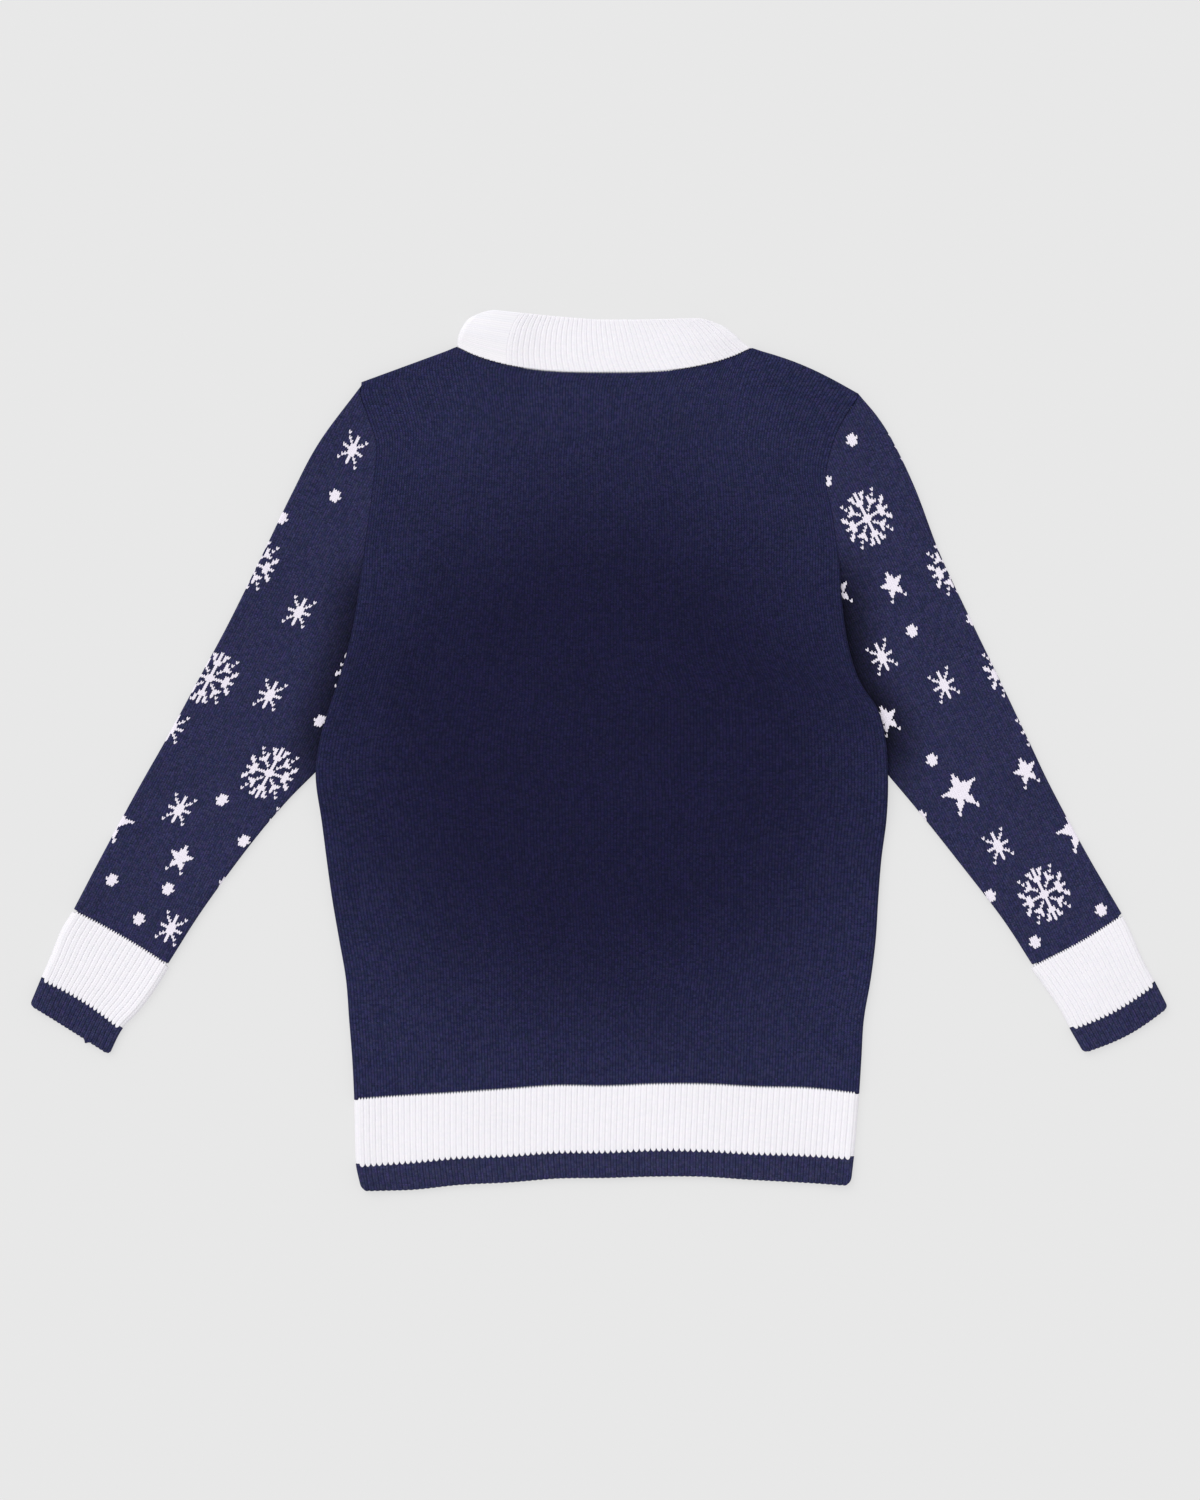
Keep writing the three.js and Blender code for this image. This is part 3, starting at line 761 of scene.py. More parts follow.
@dataclass
class TubeSurface:
    """Flat tube: two layers joined by round folds at its start side and its end side."""

    wall: float
    width: Line
    top: Callable[[Number, Number], Number]
    plan: Callable[[Number, Number, Number], tuple[Number, Number]]
    relief: Callable[[Number, Number], Number] = field(default=lambda f, along: 0.0)

    def points(self, f: Number, turn: Number, along: Number, depth: Number) -> np.ndarray:
        """Points at a depth below the tube's outer face.

        A fold is a half circle, so a point's distance in from the outline is r - (r - depth) * cos
        of its angle, and its height is the tube's half height plus (half - depth) * sin.

        Args:
            f: Fraction across between the folds.
            turn: Angle round a fold, a quarter turn on the upper layer, minus that on the lower.
            along: Place along the tube.
            depth: Depth below the outer face.

        Returns:
            Points of shape (rows, columns, 3).
        """
        width = self.width(along)
        start = self.top(0.0, along) / 2
        end = self.top(1.0, along) / 2
        from_start = start - (start - depth) * np.cos(turn)
        from_end = end - (end - depth) * np.cos(turn)
        t = lerp(from_start, width - from_end, f) / width
        half = self.top(t, along) / 2
        x, y = self.plan(t, np.minimum(1, 1 + np.sin(turn)), along)
        raised = np.where(depth < self.wall / 2, np.maximum(np.sin(turn), 0), 0)
        z = half + (half - depth) * np.sin(turn) + self.relief(f, along) * raised
        return np.stack(np.broadcast_arrays(x, y, z), -1)

    def layers(
        self, f: Number, turn: Number, along: Number, skin: Number
    ) -> tuple[np.ndarray, np.ndarray]:
        """Outer and inner grid of the wall, each at the skin's depth below its own face."""
        outer = self.points(f, turn, along, skin)
        return outer, self.points(f, turn, along, self.wall - skin)


def tube_columns(
    over: np.ndarray, lower: int, turns: int, fold: float = 0.0
) -> tuple[np.ndarray, np.ndarray, np.ndarray]:
    """Columns round a flat tube: the start fold, the upper layer, the end fold, the lower layer.

    Args:
        over: Fractions from 0 to 1 of the columns across the upper layer.
        lower: Steps across the lower layer.
        turns: Columns round each fold.
        fold: Knitting that a fold takes up, as a fraction of the width.

    Returns:
        The fraction across, the angle round the fold, and the count of widths of knitting.
    """
    angles = np.linspace(-QUARTER, QUARTER, turns + 2)[1:-1]
    under = np.linspace(1, 0, lower + 1)
    f = np.concatenate([np.zeros(turns), over, np.ones(turns), under])
    turn = np.concatenate([
        angles, np.full(len(over), QUARTER), angles[::-1], np.full(lower + 1, -QUARTER),
    ])
    taken = fold * (QUARTER - angles) / (2 * QUARTER)
    count = np.concatenate([-taken, over, 1 + taken[::-1], 2 + fold - under])
    return f[None, :], turn[None, :], count[None, :]


def distance_from_fold(f: np.ndarray, turn: np.ndarray, width: float) -> np.ndarray:
    """Distance of each column of a tube from the nearer side of its outline.

    Args:
        f: Fraction across of each column.
        turn: Angle round the fold of each column.
        width: Width of the tube.

    Returns:
        The round fold's part, r * (1 - cos), plus the part across.
    """
    radius = TUBE_EDGE_TOP / 2
    return radius * (1 - np.cos(turn)) + np.minimum(f, 1 - f) * (width - 2 * radius)


@dataclass
class LimbSurface:
    """Plan and height of a sleeve or cuff from its table."""

    table: SmoothTable
    side: int
    height: float
    inner_top: Line
    has_armhole: bool

    def section(self, along: Number) -> tuple[Number, ...]:
        """x and y of the outer edge, then of the inner edge, at a place along the limb."""
        return tuple(self.table.at(name, along) for name in LIMB[:4])

    def width(self, along: Number) -> Number:
        """Width of the section at a place along the limb."""
        out_x, out_y, in_x, in_y = self.section(along)
        return np.hypot(in_x - out_x, in_y - out_y)

    def top(self, t: Number, along: Number) -> Number:
        """Height of the stack, with a soft rise towards each fold.

        Args:
            t: Fraction of the section's width from its outer edge.
            along: Place along the limb.

        Returns:
            The height of the upper face.
        """
        width = self.width(along)
        outer = (TUBE_EDGE_TOP - self.height) * ramp(t * width, PUFF_WIDTH, 0)
        inner = (self.inner_top(along) - self.height) * ramp((1 - t) * width, PUFF_WIDTH, 0)
        return self.height + outer + inner

    def armhole(self, t: Number) -> tuple[Number, Number]:
        """Armhole end: along the body's edge to the fold, then straight to the underarm.

        Args:
            t: Fraction of the end's length from the shoulder.

        Returns:
            x and y.
        """
        follow = np.minimum(t / ARMHOLE_SHARE, 1)
        y = lerp(self.table.at("outY", 0), ARMHOLE_FOLD, follow)
        x = left_side(y) - ARMHOLE_GAP if self.side < 0 else right_side(y) + ARMHOLE_GAP
        under = np.maximum(0, (t - ARMHOLE_SHARE) / (1 - ARMHOLE_SHARE))
        return lerp(x, self.table.at("inX", 0), under), lerp(y, self.table.at("inY", 0), under)

    def plan(self, t: Number, up: Number, along: Number) -> tuple[Number, Number]:
        """Place in plan: straight across the section, bowed, and bent to the armhole near it.

        Args:
            t: Fraction of the section's width from its outer edge.
            up: Not used: both layers of a limb share one plan.
            along: Place along the limb.

        Returns:
            x and y.
        """
        out_x, out_y, in_x, in_y = self.section(along)
        arch = self.table.at("bow", along) * np.sin(np.pi * np.clip(t, 0, 1)) * self.side
        arch = arch / np.hypot(in_x - out_x, in_y - out_y)
        x = lerp(out_x, in_x, t) - arch * (in_y - out_y)
        y = lerp(out_y, in_y, t) + arch * (in_x - out_x)
        if not self.has_armhole:
            return x, y
        bend = ramp(along, ARMHOLE_BEND, 0)
        seam_x, seam_y = self.armhole(t)
        out_x, out_y, in_x, in_y = self.section(0)
        return x + bend * (seam_x - lerp(out_x, in_x, t)), y + bend * (seam_y - lerp(out_y, in_y, t))

    def place(self, x: np.ndarray, y: np.ndarray) -> tuple[np.ndarray, np.ndarray, np.ndarray]:
        """Finds t and along of points in plan by Newton steps on the plan's formula.

        Args:
            x: x of the points.
            y: y of the points.

        Returns:
            t, along, and how far off the found point is.
        """
        step = SEARCH_STEP
        first_x, first_y = self.section(0)[:2]
        down_x, down_y = self.section(1)[0] - first_x, self.section(1)[1] - first_y
        from_x, from_y = x - first_x, y - first_y
        along = np.clip((from_x * down_x + from_y * down_y) / (down_x**2 + down_y**2), 0, 1)
        t = np.full_like(along, 0.5)
        for _ in range(SEARCH_ROUNDS):
            px, py = self.plan(t, 1, along)
            tx, ty = self.plan(t + step, 1, along)
            ax, ay = self.plan(t, 1, along + step)
            tx, ty, ax, ay = (tx - px) / step, (ty - py) / step, (ax - px) / step, (ay - py) / step
            scale = tx * ay - ty * ax
            scale = np.where(np.abs(scale) < 1, 1, scale)
            off_x, off_y = x - px, y - py
            t = t + (off_x * ay - off_y * ax) / scale
            along = along + (tx * off_y - ty * off_x) / scale
            t = np.clip(t, -SEARCH_PAST_SIDES, 1 + SEARCH_PAST_SIDES)
            along = np.clip(along, -SEARCH_PAST_ENDS, 1 + SEARCH_PAST_ENDS)
        px, py = self.plan(t, 1, along)
        return t, along, np.hypot(x - px, y - py)

    def tube(self, wall: float, relief: Optional[Callable] = None) -> TubeSurface:
        """The limb as a flat tube.

        Args:
            wall: Thickness of the wall.
            relief: Height of raised ribs by the fraction across and the place along.

        Returns:
            The tube's surface.
        """
        surface = TubeSurface(wall, self.width, self.top, self.plan)
        if relief:
            surface.relief = relief
        return surface


class MotifKind(Enum):
    """Motifs of the sleeves, each one a small chart over wales and courses."""

    LARGE_FLAKE = "large flake"
    SMALL_FLAKE = "small flake"
    LARGE_STAR = "large star"
    SMALL_STAR = "small star"
    DOT = "dot"


@dataclass(frozen=True)
class Motif:
    """One white motif on a sleeve: its kind and the place of its middle."""

    kind: MotifKind
    x: float
    y: float


# Stars: number of tips, size of the valleys and of the two lower arms, a factor that narrows
# them, and the radius of the tips. Dots: half their width and height. Reach of the largest chart
STAR_POINTS = 5
STAR_VALLEY = 0.36
STAR_PARTING = 0.12
STAR_LOWER_ARMS = 0.12
STAR_NARROWNESS = 1.26
STAR_RADIUS = {MotifKind.LARGE_STAR: 19.6, MotifKind.SMALL_STAR: 13.0}
DOT_HALF_WIDTH = 4.2
DOT_HALF_HEIGHT = 4.9
CHART_REACH = 13


def star_chart(wale: np.ndarray, course: np.ndarray, radius: float) -> np.ndarray:
    """Stitches inside a five-pointed star: below the line from a tip to the next valley.

    The lower arms are longer than the upper ones, by the cosine of a tip's angle from the top,
    and the valley between them is deeper, by the cosine of its angle.

    Args:
        wale: Wale of each stitch, from the star's middle.
        course: Course of each stitch.
        radius: Radius of the tips in millimetres.

    Returns:
        True for each stitch inside.
    """
    sector = math.pi / STAR_POINTS
    x, y = wale * SLEEVE_WALE * STAR_NARROWNESS, course * COURSE
    angle = np.arctan2(x, y)
    tip_angle = 2 * sector * np.round(angle / (2 * sector))
    off = np.abs(angle - tip_angle)
    valley_angle = tip_angle + sector * np.sign(angle - tip_angle)
    tip = radius * (1 - STAR_LOWER_ARMS * np.cos(tip_angle))
    valley = radius * (STAR_VALLEY + STAR_PARTING * np.cos(valley_angle))
    line = tip * valley * math.sin(sector) / (valley * np.sin(sector - off) + tip * np.sin(off))
    away = np.hypot(x, y)
    return away <= line + SLEEVE_WALE / 4 * (1 + away / radius / 2)


def chart(kind: MotifKind) -> np.ndarray:
    """White stitches of a motif, worked out from its arms, barbs or outline.

    A flake is the same in its four quarters, so its arms are rules on the distance in wales
    and in courses: straight arms, stepped diagonals, and barbs that branch off near the tips.

    Args:
        kind: The motif's kind.

    Returns:
        Wale and course of each white stitch, of shape (stitches, 2).
    """
    reach = np.arange(-CHART_REACH, CHART_REACH + 1)
    wale, course = np.meshgrid(reach, reach, indexing="ij")
    a, b = np.abs(wale), np.abs(course)
    if kind is MotifKind.LARGE_FLAKE:
        white = (a <= 1) & (b <= 1) | (a == 0) & (b <= 12) | (b == 0) & (a <= 9)
        white |= (a == 1) & (b >= 7) & (b <= 8) | (a == 2) & (b >= 9) & (b <= 11)
        white |= (a == 3) & (b == 11) | (a >= 6) & (a <= 7) & (b <= 2)
        white |= (a == 8) & (b >= 3) & (b <= 4) | (a == 9) & (b >= 4) & (b <= 5)
        white |= (a == 2) & (b == 3) | (a == 3) & (b == 4) | (a == 4) & (b >= 5) & (b <= 8)
        white |= (a == 5) & (b >= 5) & (b <= 6) | (a == 6) & (b == 5)
        white |= (a == 6) & (b == 8) | (a == 7) & (b == 10)
    elif kind is MotifKind.SMALL_FLAKE:
        white = (a <= 1) & (b <= 1) | (a == 0) & (b <= 6) | (b == 0) & (a <= 4)
        white |= (a == 1) & (b == 2) | (a == 2) & (b == 3)
        white |= (a == 3) & (b == 4) | (a == 4) & (b == 6)
    elif kind is MotifKind.DOT:
        across, up = wale * SLEEVE_WALE / DOT_HALF_WIDTH, course * COURSE / DOT_HALF_HEIGHT
        white = np.hypot(across, up) <= 1
    else:
        white = star_chart(wale, course, STAR_RADIUS[kind])
    return np.stack([wale[white], course[white]], -1).astype(float)


LARGE_FLAKE, SMALL_FLAKE = MotifKind.LARGE_FLAKE, MotifKind.SMALL_FLAKE
LARGE_STAR, SMALL_STAR, DOT = MotifKind.LARGE_STAR, MotifKind.SMALL_STAR, MotifKind.DOT

# Degrees that the wales lean outward and the courses drop outward, by height on each sleeve
LEAN_LEFT = SmoothTable(["wale", "course"], [
    [-142, 26, 25], [-47, 29, 18], [43, 28, 16], [110, 27, 17], [186, 26, 27], [240, 26, 36],
])
LEAN_RIGHT = SmoothTable(["wale", "course"], [
    [-142, 26, 28], [50, 26, 30], [186, 27, 32], [240, 27, 33],
])

# Middles of the motifs, placed from the photo
MOTIFS_LEFT = [Motif(kind, x, y) for kind, places in (
    (SMALL_FLAKE, (
        (-197.2, 239.6), (-240.0, 110.0), (-263.2, 43.6), (-335.8, -48.0), (-342.2, -143.2),
        (-341.5, 17.4),
    )),
    (LARGE_FLAKE, ((-263.6, -18.8), (-278.1, 149.7), (-311.2, 57.2), (-188.5, 63.0))),
    (DOT, (
        (-211.2, 202.8), (-253.6, 185.2), (-223.2, 22.8), (-301.6, -40.4), (-284.0, -73.2),
        (-389.6, -104.4), (-344.8, -111.6), (-368.0, -135.6), (-299.0, -107.5), (-182.5, 165.0),
    )),
    (SMALL_FLAKE, ((-254.5, -59.5),)),
    (SMALL_STAR, ((-335.2, -87.6),)),
    (LARGE_STAR, ((-388.9, -58.6),)),
) for x, y in places]

MOTIFS_RIGHT = [Motif(kind, x, y) for kind, places in (
    (DOT, (
        (202.4, 247.6), (181.8, 214.8), (250.4, 94.8), (266.4, -8.4), (312.8, -117.2),
        (401.6, -128.4), (348.8, -154.0), (298.5, 104.5), (257.5, -54.0),
    )),
    (LARGE_FLAKE, ((214.4, 184.8), (356.2, -115.8), (283.3, 147.6), (327.8, 66.2))),
    (SMALL_STAR, ((192.0, 125.5),)),
    (SMALL_FLAKE, ((244.5, 246.7), (226.4, 74.0), (276.0, 51.6), (319.2, -77.2), (345.9, 17.4))),
    (SMALL_STAR, ((235.2, 130.8), (341.6, -18.0), (230.4, 23.6))),
    (LARGE_STAR, ((290.0, -35.5), (381.8, -65.0))),
) for x, y in places]


@dataclass
class StitchLegs:
    """The white stitches of a sleeve: each a V of two rounded legs, half sunk in the jersey."""

    name: str
    limb: LimbSurface
    motifs: Sequence[Motif]
    lean: SmoothTable
    half_length: float = 1.75
    half_width: float = 0.7
    half_height: float = 0.5
    sink: float = 0.2
    around: int = 6
    rings: int = 5
    bluntness: float = 0.6
    tip_radius: float = 0.02
    leg_foot: tuple[float, float] = (0.06, -0.6)
    leg_head: tuple[float, float] = (0.46, 0.62)
    edge_margin: float = 1.4
    past_fold: float = 3.5

    def axes(self, y: float) -> tuple[np.ndarray, np.ndarray]:
        """Directions of a course and of a wale at a height on the sleeve.

        Args:
            y: Height of the motif.

        Returns:
            Unit vector along a course, towards +X, and unit vector along a wale, to the shoulder.
        """
        wale = math.radians(float(self.lean.at("wale", y))) * -self.limb.side
        course = math.radians(float(self.lean.at("course", y))) * -self.limb.side
        return (
            np.array([math.cos(course), -math.sin(course)]),
            np.array([math.sin(wale), math.cos(wale)]),
        )

    def middles(self) -> tuple[np.ndarray, np.ndarray, np.ndarray]:
        """Middle of each white stitch that lies on the sleeve, with its two directions.

        Returns:
            Points, course directions and wale directions, each of shape (stitches, 2).
        """
        points, across, upward = [], [], []
        for motif in self.motifs:
            course_way, wale_way = self.axes(motif.y)
            cells = chart(motif.kind)
            offset = cells[:, :1] * SLEEVE_WALE * course_way + cells[:, 1:] * COURSE * wale_way
            points.append(np.array([motif.x, motif.y]) + offset)
            across.append(np.broadcast_to(course_way, offset.shape))
            upward.append(np.broadcast_to(wale_way, offset.shape))
        point, course_way, wale_way = (np.concatenate(x) for x in (points, across, upward))
        t, along, error = self.limb.place(point[:, 0], point[:, 1])
        width = self.limb.width(along)
        from_end = self.edge_margin / SLEEVE_LENGTH
        on_sleeve = (error < SEARCH_ERROR) & (along > from_end) & (along < 1 - from_end)
        on_sleeve &= np.abs(t - 0.5) * width < width / 2 + self.past_fold
        return point[on_sleeve], course_way[on_sleeve], wale_way[on_sleeve]

    def leg(self) -> np.ndarray:
        """Rounded leg: rings along it whose radius is a small power of a sine, closed by two ends.

        Returns:
            Points along, across and up in millimetres, of shape (rings * around, 3).
        """
        angle = np.linspace(0, math.pi, self.rings)[:, None]
        turn = np.linspace(0, 2 * math.pi, self.around, endpoint=False)[None, :]
        radius = np.maximum(np.sin(angle), self.tip_radius) ** self.bluntness
        along = np.broadcast_to(-np.cos(angle) * self.half_length, (self.rings, self.around))
        across = radius * np.cos(turn) * self.half_width
        up = radius * np.sin(turn) * self.half_height - self.sink
        return np.stack([along, across, up], -1).reshape(-1, 3)

    def leg_faces(self) -> np.ndarray:
        """Faces of one leg: bands between the rings, and the two closing ends.

        Returns:
            Point numbers of shape (faces, 4).
        """
        i = np.arange(self.around)
        after = (i + 1) % self.around
        bands = [
            np.stack([i, after, after + self.around, i + self.around], -1) + ring * self.around
            for ring in range(self.rings - 1)
        ]
        half = self.around // 2
        ends = []
        for start, order in ((0, -1), ((self.rings - 1) * self.around, 1)):
            for n in range(half - 1):
                quad = np.array([n, n + 1, self.around - 2 - n, self.around - 1 - n])
                ends.append(start + quad[::order])
        return np.concatenate([*bands, np.array(ends)])

    def build(self) -> bpy.types.Object:
        """Lays every leg on the sleeve's face and joins them in one mesh.

        Returns:
            The object.
        """
        middle, course_way, wale_way = self.middles()
        legs = self.leg()
        clouds = []
        for hand in (-1, 1):
            foot = np.array(self.leg_foot) * [hand * SLEEVE_WALE, COURSE]
            head = np.array(self.leg_head) * [hand * SLEEVE_WALE, COURSE]
            centre = (foot + head) / 2
            way = (head - foot) / np.hypot(*(head - foot))
            side_way = np.array([way[1], -way[0]])
            flat = centre + legs[:, :1] * way + legs[:, 1:2] * side_way
            plan = middle[:, None] + flat[None, :, :1] * course_way[:, None]
            plan = plan + flat[None, :, 1:] * wale_way[:, None]
            up = np.broadcast_to(legs[:, 2], plan.shape[:2])
            clouds.append(np.concatenate([plan, up[..., None]], -1))
        cloud = np.concatenate(clouds).reshape(-1, 3)
        points = self.lay(cloud[:, 0], cloud[:, 1], cloud[:, 2]) * MM
        count = len(points) // len(legs)
        shift = np.arange(count)[:, None, None] * len(legs)
        faces = (self.leg_faces()[None] + shift).reshape(-1, 4)
        if signed_volume(points[: len(legs)], self.leg_faces()) < 0:
            faces = faces[:, ::-1]
        LOG.info("%s: %d white stitches", self.name, len(middle))
        return mesh_object(self.name, points, faces)

    def lay(self, x: np.ndarray, y: np.ndarray, up: np.ndarray) -> np.ndarray:
        """Puts plan points on the upper face, rolled round a fold where they pass it.

        Args:
            x: x of the points.
            y: y of the points.
            up: Height of each above the face.

        Returns:
            Points of shape (count, 3), in millimetres.
        """
        limb = self.limb
        t, along, _ = limb.place(x, y)
        width = limb.width(along)
        inward = t * width
        start, end = limb.top(0.0, along) / 2, limb.top(1.0, along) / 2
        outward = width - inward
        turn = np.where(inward < start, QUARTER - (start - inward) / start, QUARTER)
        turn = np.where(outward < end, QUARTER - (end - outward) / end, turn)
        near = start - (start + up) * np.cos(turn)
        far = width - end + (end + up) * np.cos(turn)
        flat = np.where(inward < start, near, np.where(outward < end, far, inward)) / width
        half = limb.top(flat, along) / 2
        place_x, place_y = limb.plan(flat, 1, along)
        return np.stack([place_x, place_y, half + (half + up) * np.sin(turn)], -1)


# Part of a noise's range that most of its values lie in
NOISE_SPAN = (0.3, 0.7)


def linear_colour(hex_colour: str) -> tuple[float, float, float, float]:
    """Turns an sRGB hex colour into linear red, green, blue and alpha.

    Args:
        hex_colour: Such as "#1d2140".

    Returns:
        The linear colour.
    """
    parts = [int(hex_colour[n:n + 2], 16) / 255 for n in (1, 3, 5)]
    lit = [c / 12.92 if c <= 0.04045 else ((c + 0.055) / 1.055) ** 2.4 for c in parts]
    return (*lit, 1.0)


def add_node(
    tree: Tree,
    kind: str,
    settings: Optional[dict[Any, Any]] = None,
    links: Optional[dict[Any, Socket]] = None,
) -> bpy.types.Node:
    """Adds a node with its settings and links.

    Args:
        tree: The material's node tree.
        kind: The node's type name.
        settings: Values by property name, or by the number or name of an input.
        links: Sockets to join to inputs, by number or name.

    Returns:
        The node.
    """
    node = tree.nodes.new(kind)
    for key, value in (settings or {}).items():
        if isinstance(key, int) or key in node.inputs:
            node.inputs[key].default_value = value
        else:
            setattr(node, key, value)
    for key, socket in (links or {}).items():
        tree.links.new(socket, node.inputs[key])
    return node


def new_material(name: str) -> bpy.types.Material:
    """Makes a material with an empty node tree.

    Args:
        name: The material's name.

    Returns:
        The material.
    """
    material = bpy.data.materials.new(name)
    material.use_nodes = True
    material.node_tree.nodes.clear()
    return material


@dataclass(frozen=True)
class KnitFinish:
    """Machine-knitted acrylic: matt yarn with a faint nap, whose stitches stand up as small Vs.

    Stitches are as large as the stitch map says, from the real gauge. The nap's fibres are too
    fine to show, so the nap is drawn coarser, fuzz_size wide. Sizes are in millimetres: relief is
    the height of the knit, and between two distances from the middle the yarn turns into a lighter
    colour, painted light towards the edges; that colour also tints the sheen. The colour between
    the stitches is painted shade. leg_rise is how many courses a leg climbs. Depths, tones, tints
    and grains are fractions by which the colour swings.
    """

    name: str
    slot: str
    yarn: str
    groove_painted_shade: str
    painted_light_yarn: str
    relief: float
    sheen: float
    leg_rise: float = 0.9
    wale_power: float = 0.5
    loop_share: float = 0.55
    yarn_level: float = 0.85
    fuzz: float = 0.25
    fuzz_size: float = 0.9
    fuzz_roughness: float = 0.6
    tone_size: float = 70.0
    tone_roughness: float = 0.5
    tone_depth: float = 0.05
    stitch_tone: float = 0.2
    stitch_tint: float = 0.13
    yarn_grain: float = 0.45
    painted_light_from: float = 115.4
    painted_light_full: float = 307.7
    roughness: float = 0.9
    specular: float = 0.12
    sheen_roughness: float = 0.5
    stitched: bool = True
    hollowed: bool = False

    def build(self) -> bpy.types.Material:
        """Makes the material.

        Height: the knit's, with the nap on it. Colour: yarn on the stitches, a lighter colour towards
        the edges as painted light, and the groove's colour between them, darker, as painted shade.
        A tone and a tint by chance from stitch to stitch, with finer specks from the nap, give the
        eye the grain of the knit. A slow drift of tone keeps large areas from looking flat, and
        painted shade beside the body's edge darkens the yarn by the attribute's depth.

        Returns:
            The material.
        """
        material = new_material(self.name)
        tree = material.node_tree
        place = add_node(tree, "ShaderNodeTexCoord").outputs["Object"]
        nap, drift = (
            add_node(
                tree, "ShaderNodeTexNoise",
                {"Scale": 1 / (size * MM), "Detail": 2.0, "Roughness": roughness},
                {"Vector": place},
            ).outputs["Fac"]
            for size, roughness in (
                (self.fuzz_size, self.fuzz_roughness), (self.tone_size, self.tone_roughness),
            )
        )
        height = add_node(
            tree, "ShaderNodeMath", {"operation": "MULTIPLY", 1: self.fuzz}, {0: nap},
        ).outputs[0]
        colour = self.yarn_with_painted_light(tree)
        if self.stitched:
            knit = self.stitch_height(tree)
            height = add_node(
                tree, "ShaderNodeMath", {"operation": "ADD"}, {0: knit, 1: height},
            ).outputs[0]
            # Painted shade: the darker groove colour where the knit is low, between the stitches
            deep = add_node(
                tree, "ShaderNodeMapRange", {"From Max": self.yarn_level}, {"Value": knit},
            ).outputs["Result"]
            colour = add_node(
                tree, "ShaderNodeMix", {"data_type": "RGBA", 6: linear_colour(self.groove_painted_shade)},
                {0: deep, 7: colour},
            ).outputs[2]
            colour = self.stitch_grain(tree, colour)
        least, most = NOISE_SPAN
        factors = [
            add_node(
                tree, "ShaderNodeMapRange",
                {"From Min": least, "From Max": most, "To Min": 1 - depth, "To Max": 1 + depth},
                {"Value": value},
            ).outputs["Result"]
            for value, depth in ((drift, self.tone_depth), (nap, self.yarn_grain))
        ]
        # Painted shade beside the body's edge: the yarn darker by the attribute's depth
        if self.hollowed:
            depth = add_node(tree, "ShaderNodeAttribute", {"attribute_name": PAINTED_SHADE}).outputs["Fac"]
            factors.append(add_node(
                tree, "ShaderNodeMath", {"operation": "SUBTRACT", 0: 1.0}, {1: depth},
            ).outputs[0])
        for factor in factors:
            colour = add_node(
                tree, "ShaderNodeVectorMath", {"operation": "SCALE"}, {0: colour, "Scale": factor},
            ).outputs[0]
        bump = add_node(
            tree, "ShaderNodeBump", {"Strength": 1.0, "Distance": self.relief * MM},
            {"Height": height},
        ).outputs["Normal"]
        shader = add_node(
            tree, "ShaderNodeBsdfPrincipled",
            {
                "Roughness": self.roughness,
                "Specular IOR Level": self.specular,
                "Sheen Weight": self.sheen,
                "Sheen Roughness": self.sheen_roughness,
                "Sheen Tint": linear_colour(self.painted_light_yarn),
            },
            {"Base Color": colour, "Normal": bump},
        ).outputs["BSDF"]
        add_node(tree, "ShaderNodeOutputMaterial", links={"Surface": shader})
        return material

    def yarn_with_painted_light(self, tree: Tree) -> Socket:
        """The yarn's colour, which turns into a lighter one with the distance from the middle: painted
        light towards the edges.

        Args:
            tree: The material's node tree.

        Returns:
            The colour, a soft step of the length of (x, y) between the two distances.
        """
        place = add_node(tree, "ShaderNodeTexCoord").outputs["Object"]
        flat = add_node(
            tree, "ShaderNodeVectorMath", {"operation": "MULTIPLY", 1: (1.0, 1.0, 0.0)}, {0: place},
        ).outputs[0]
        far = add_node(tree, "ShaderNodeVectorMath", {"operation": "LENGTH"}, {0: flat})
        # Share of the painted light, from the middle out to the edges
        outer = add_node(
            tree, "ShaderNodeMapRange",
            {
                "interpolation_type": "SMOOTHSTEP",
                "From Min": self.painted_light_from * MM,
                "From Max": self.painted_light_full * MM,
            },
            {"Value": far.outputs["Value"]},
        ).outputs["Result"]
        return add_node(
            tree, "ShaderNodeMix",
            {"data_type": "RGBA", 6: linear_colour(self.yarn), 7: linear_colour(self.painted_light_yarn)},
            {0: outer},
        ).outputs[2]

    def stitch_height(self, tree: Tree) -> Socket:
        """Height of the knit from the stitch map, 0 in the grooves between wales, 1 on a crest.

        A wale stands as a cosine's arch to a power. Along it runs one loop a course, the size of
        a sine, shifted up towards the wale's borders so that its two legs lean as a V.

        Args:
            tree: The material's node tree.

        Returns:
            The socket that gives the height.
        """
        stitch = add_node(tree, "ShaderNodeUVMap", {"uv_map": STITCH_MAP}).outputs["UV"]
        wale, course, _ = add_node(tree, "ShaderNodeSeparateXYZ", links={0: stitch}).outputs
        found = {"wale": wale, "course": course}
        for result, operation, *terms in (
            ("part", "FRACT", "wale"),
            ("centred", "SUBTRACT", "part", 0.5),
            ("off", "ABSOLUTE", "centred"),
            ("from_middle", "MULTIPLY", "off", 2.0),
            ("angle", "MULTIPLY", "from_middle", QUARTER),
            ("arch", "COSINE", "angle"),
            ("upper", "MAXIMUM", "arch", 0.0),
            ("wale_height", "POWER", "upper", self.wale_power),
            ("lean", "MULTIPLY", "from_middle", self.leg_rise),
            ("shifted", "SUBTRACT", "course", "lean"),
            ("turn", "MULTIPLY", "shifted", math.pi),
            ("wave", "SINE", "turn"),
            ("loop", "ABSOLUTE", "wave"),
            ("share", "MULTIPLY", "loop", self.loop_share),
            ("loop_height", "ADD", "share", 1 - self.loop_share),
            ("height", "MULTIPLY", "wale_height", "loop_height"),
        ):
            numbers = {n: term for n, term in enumerate(terms) if not isinstance(term, str)}
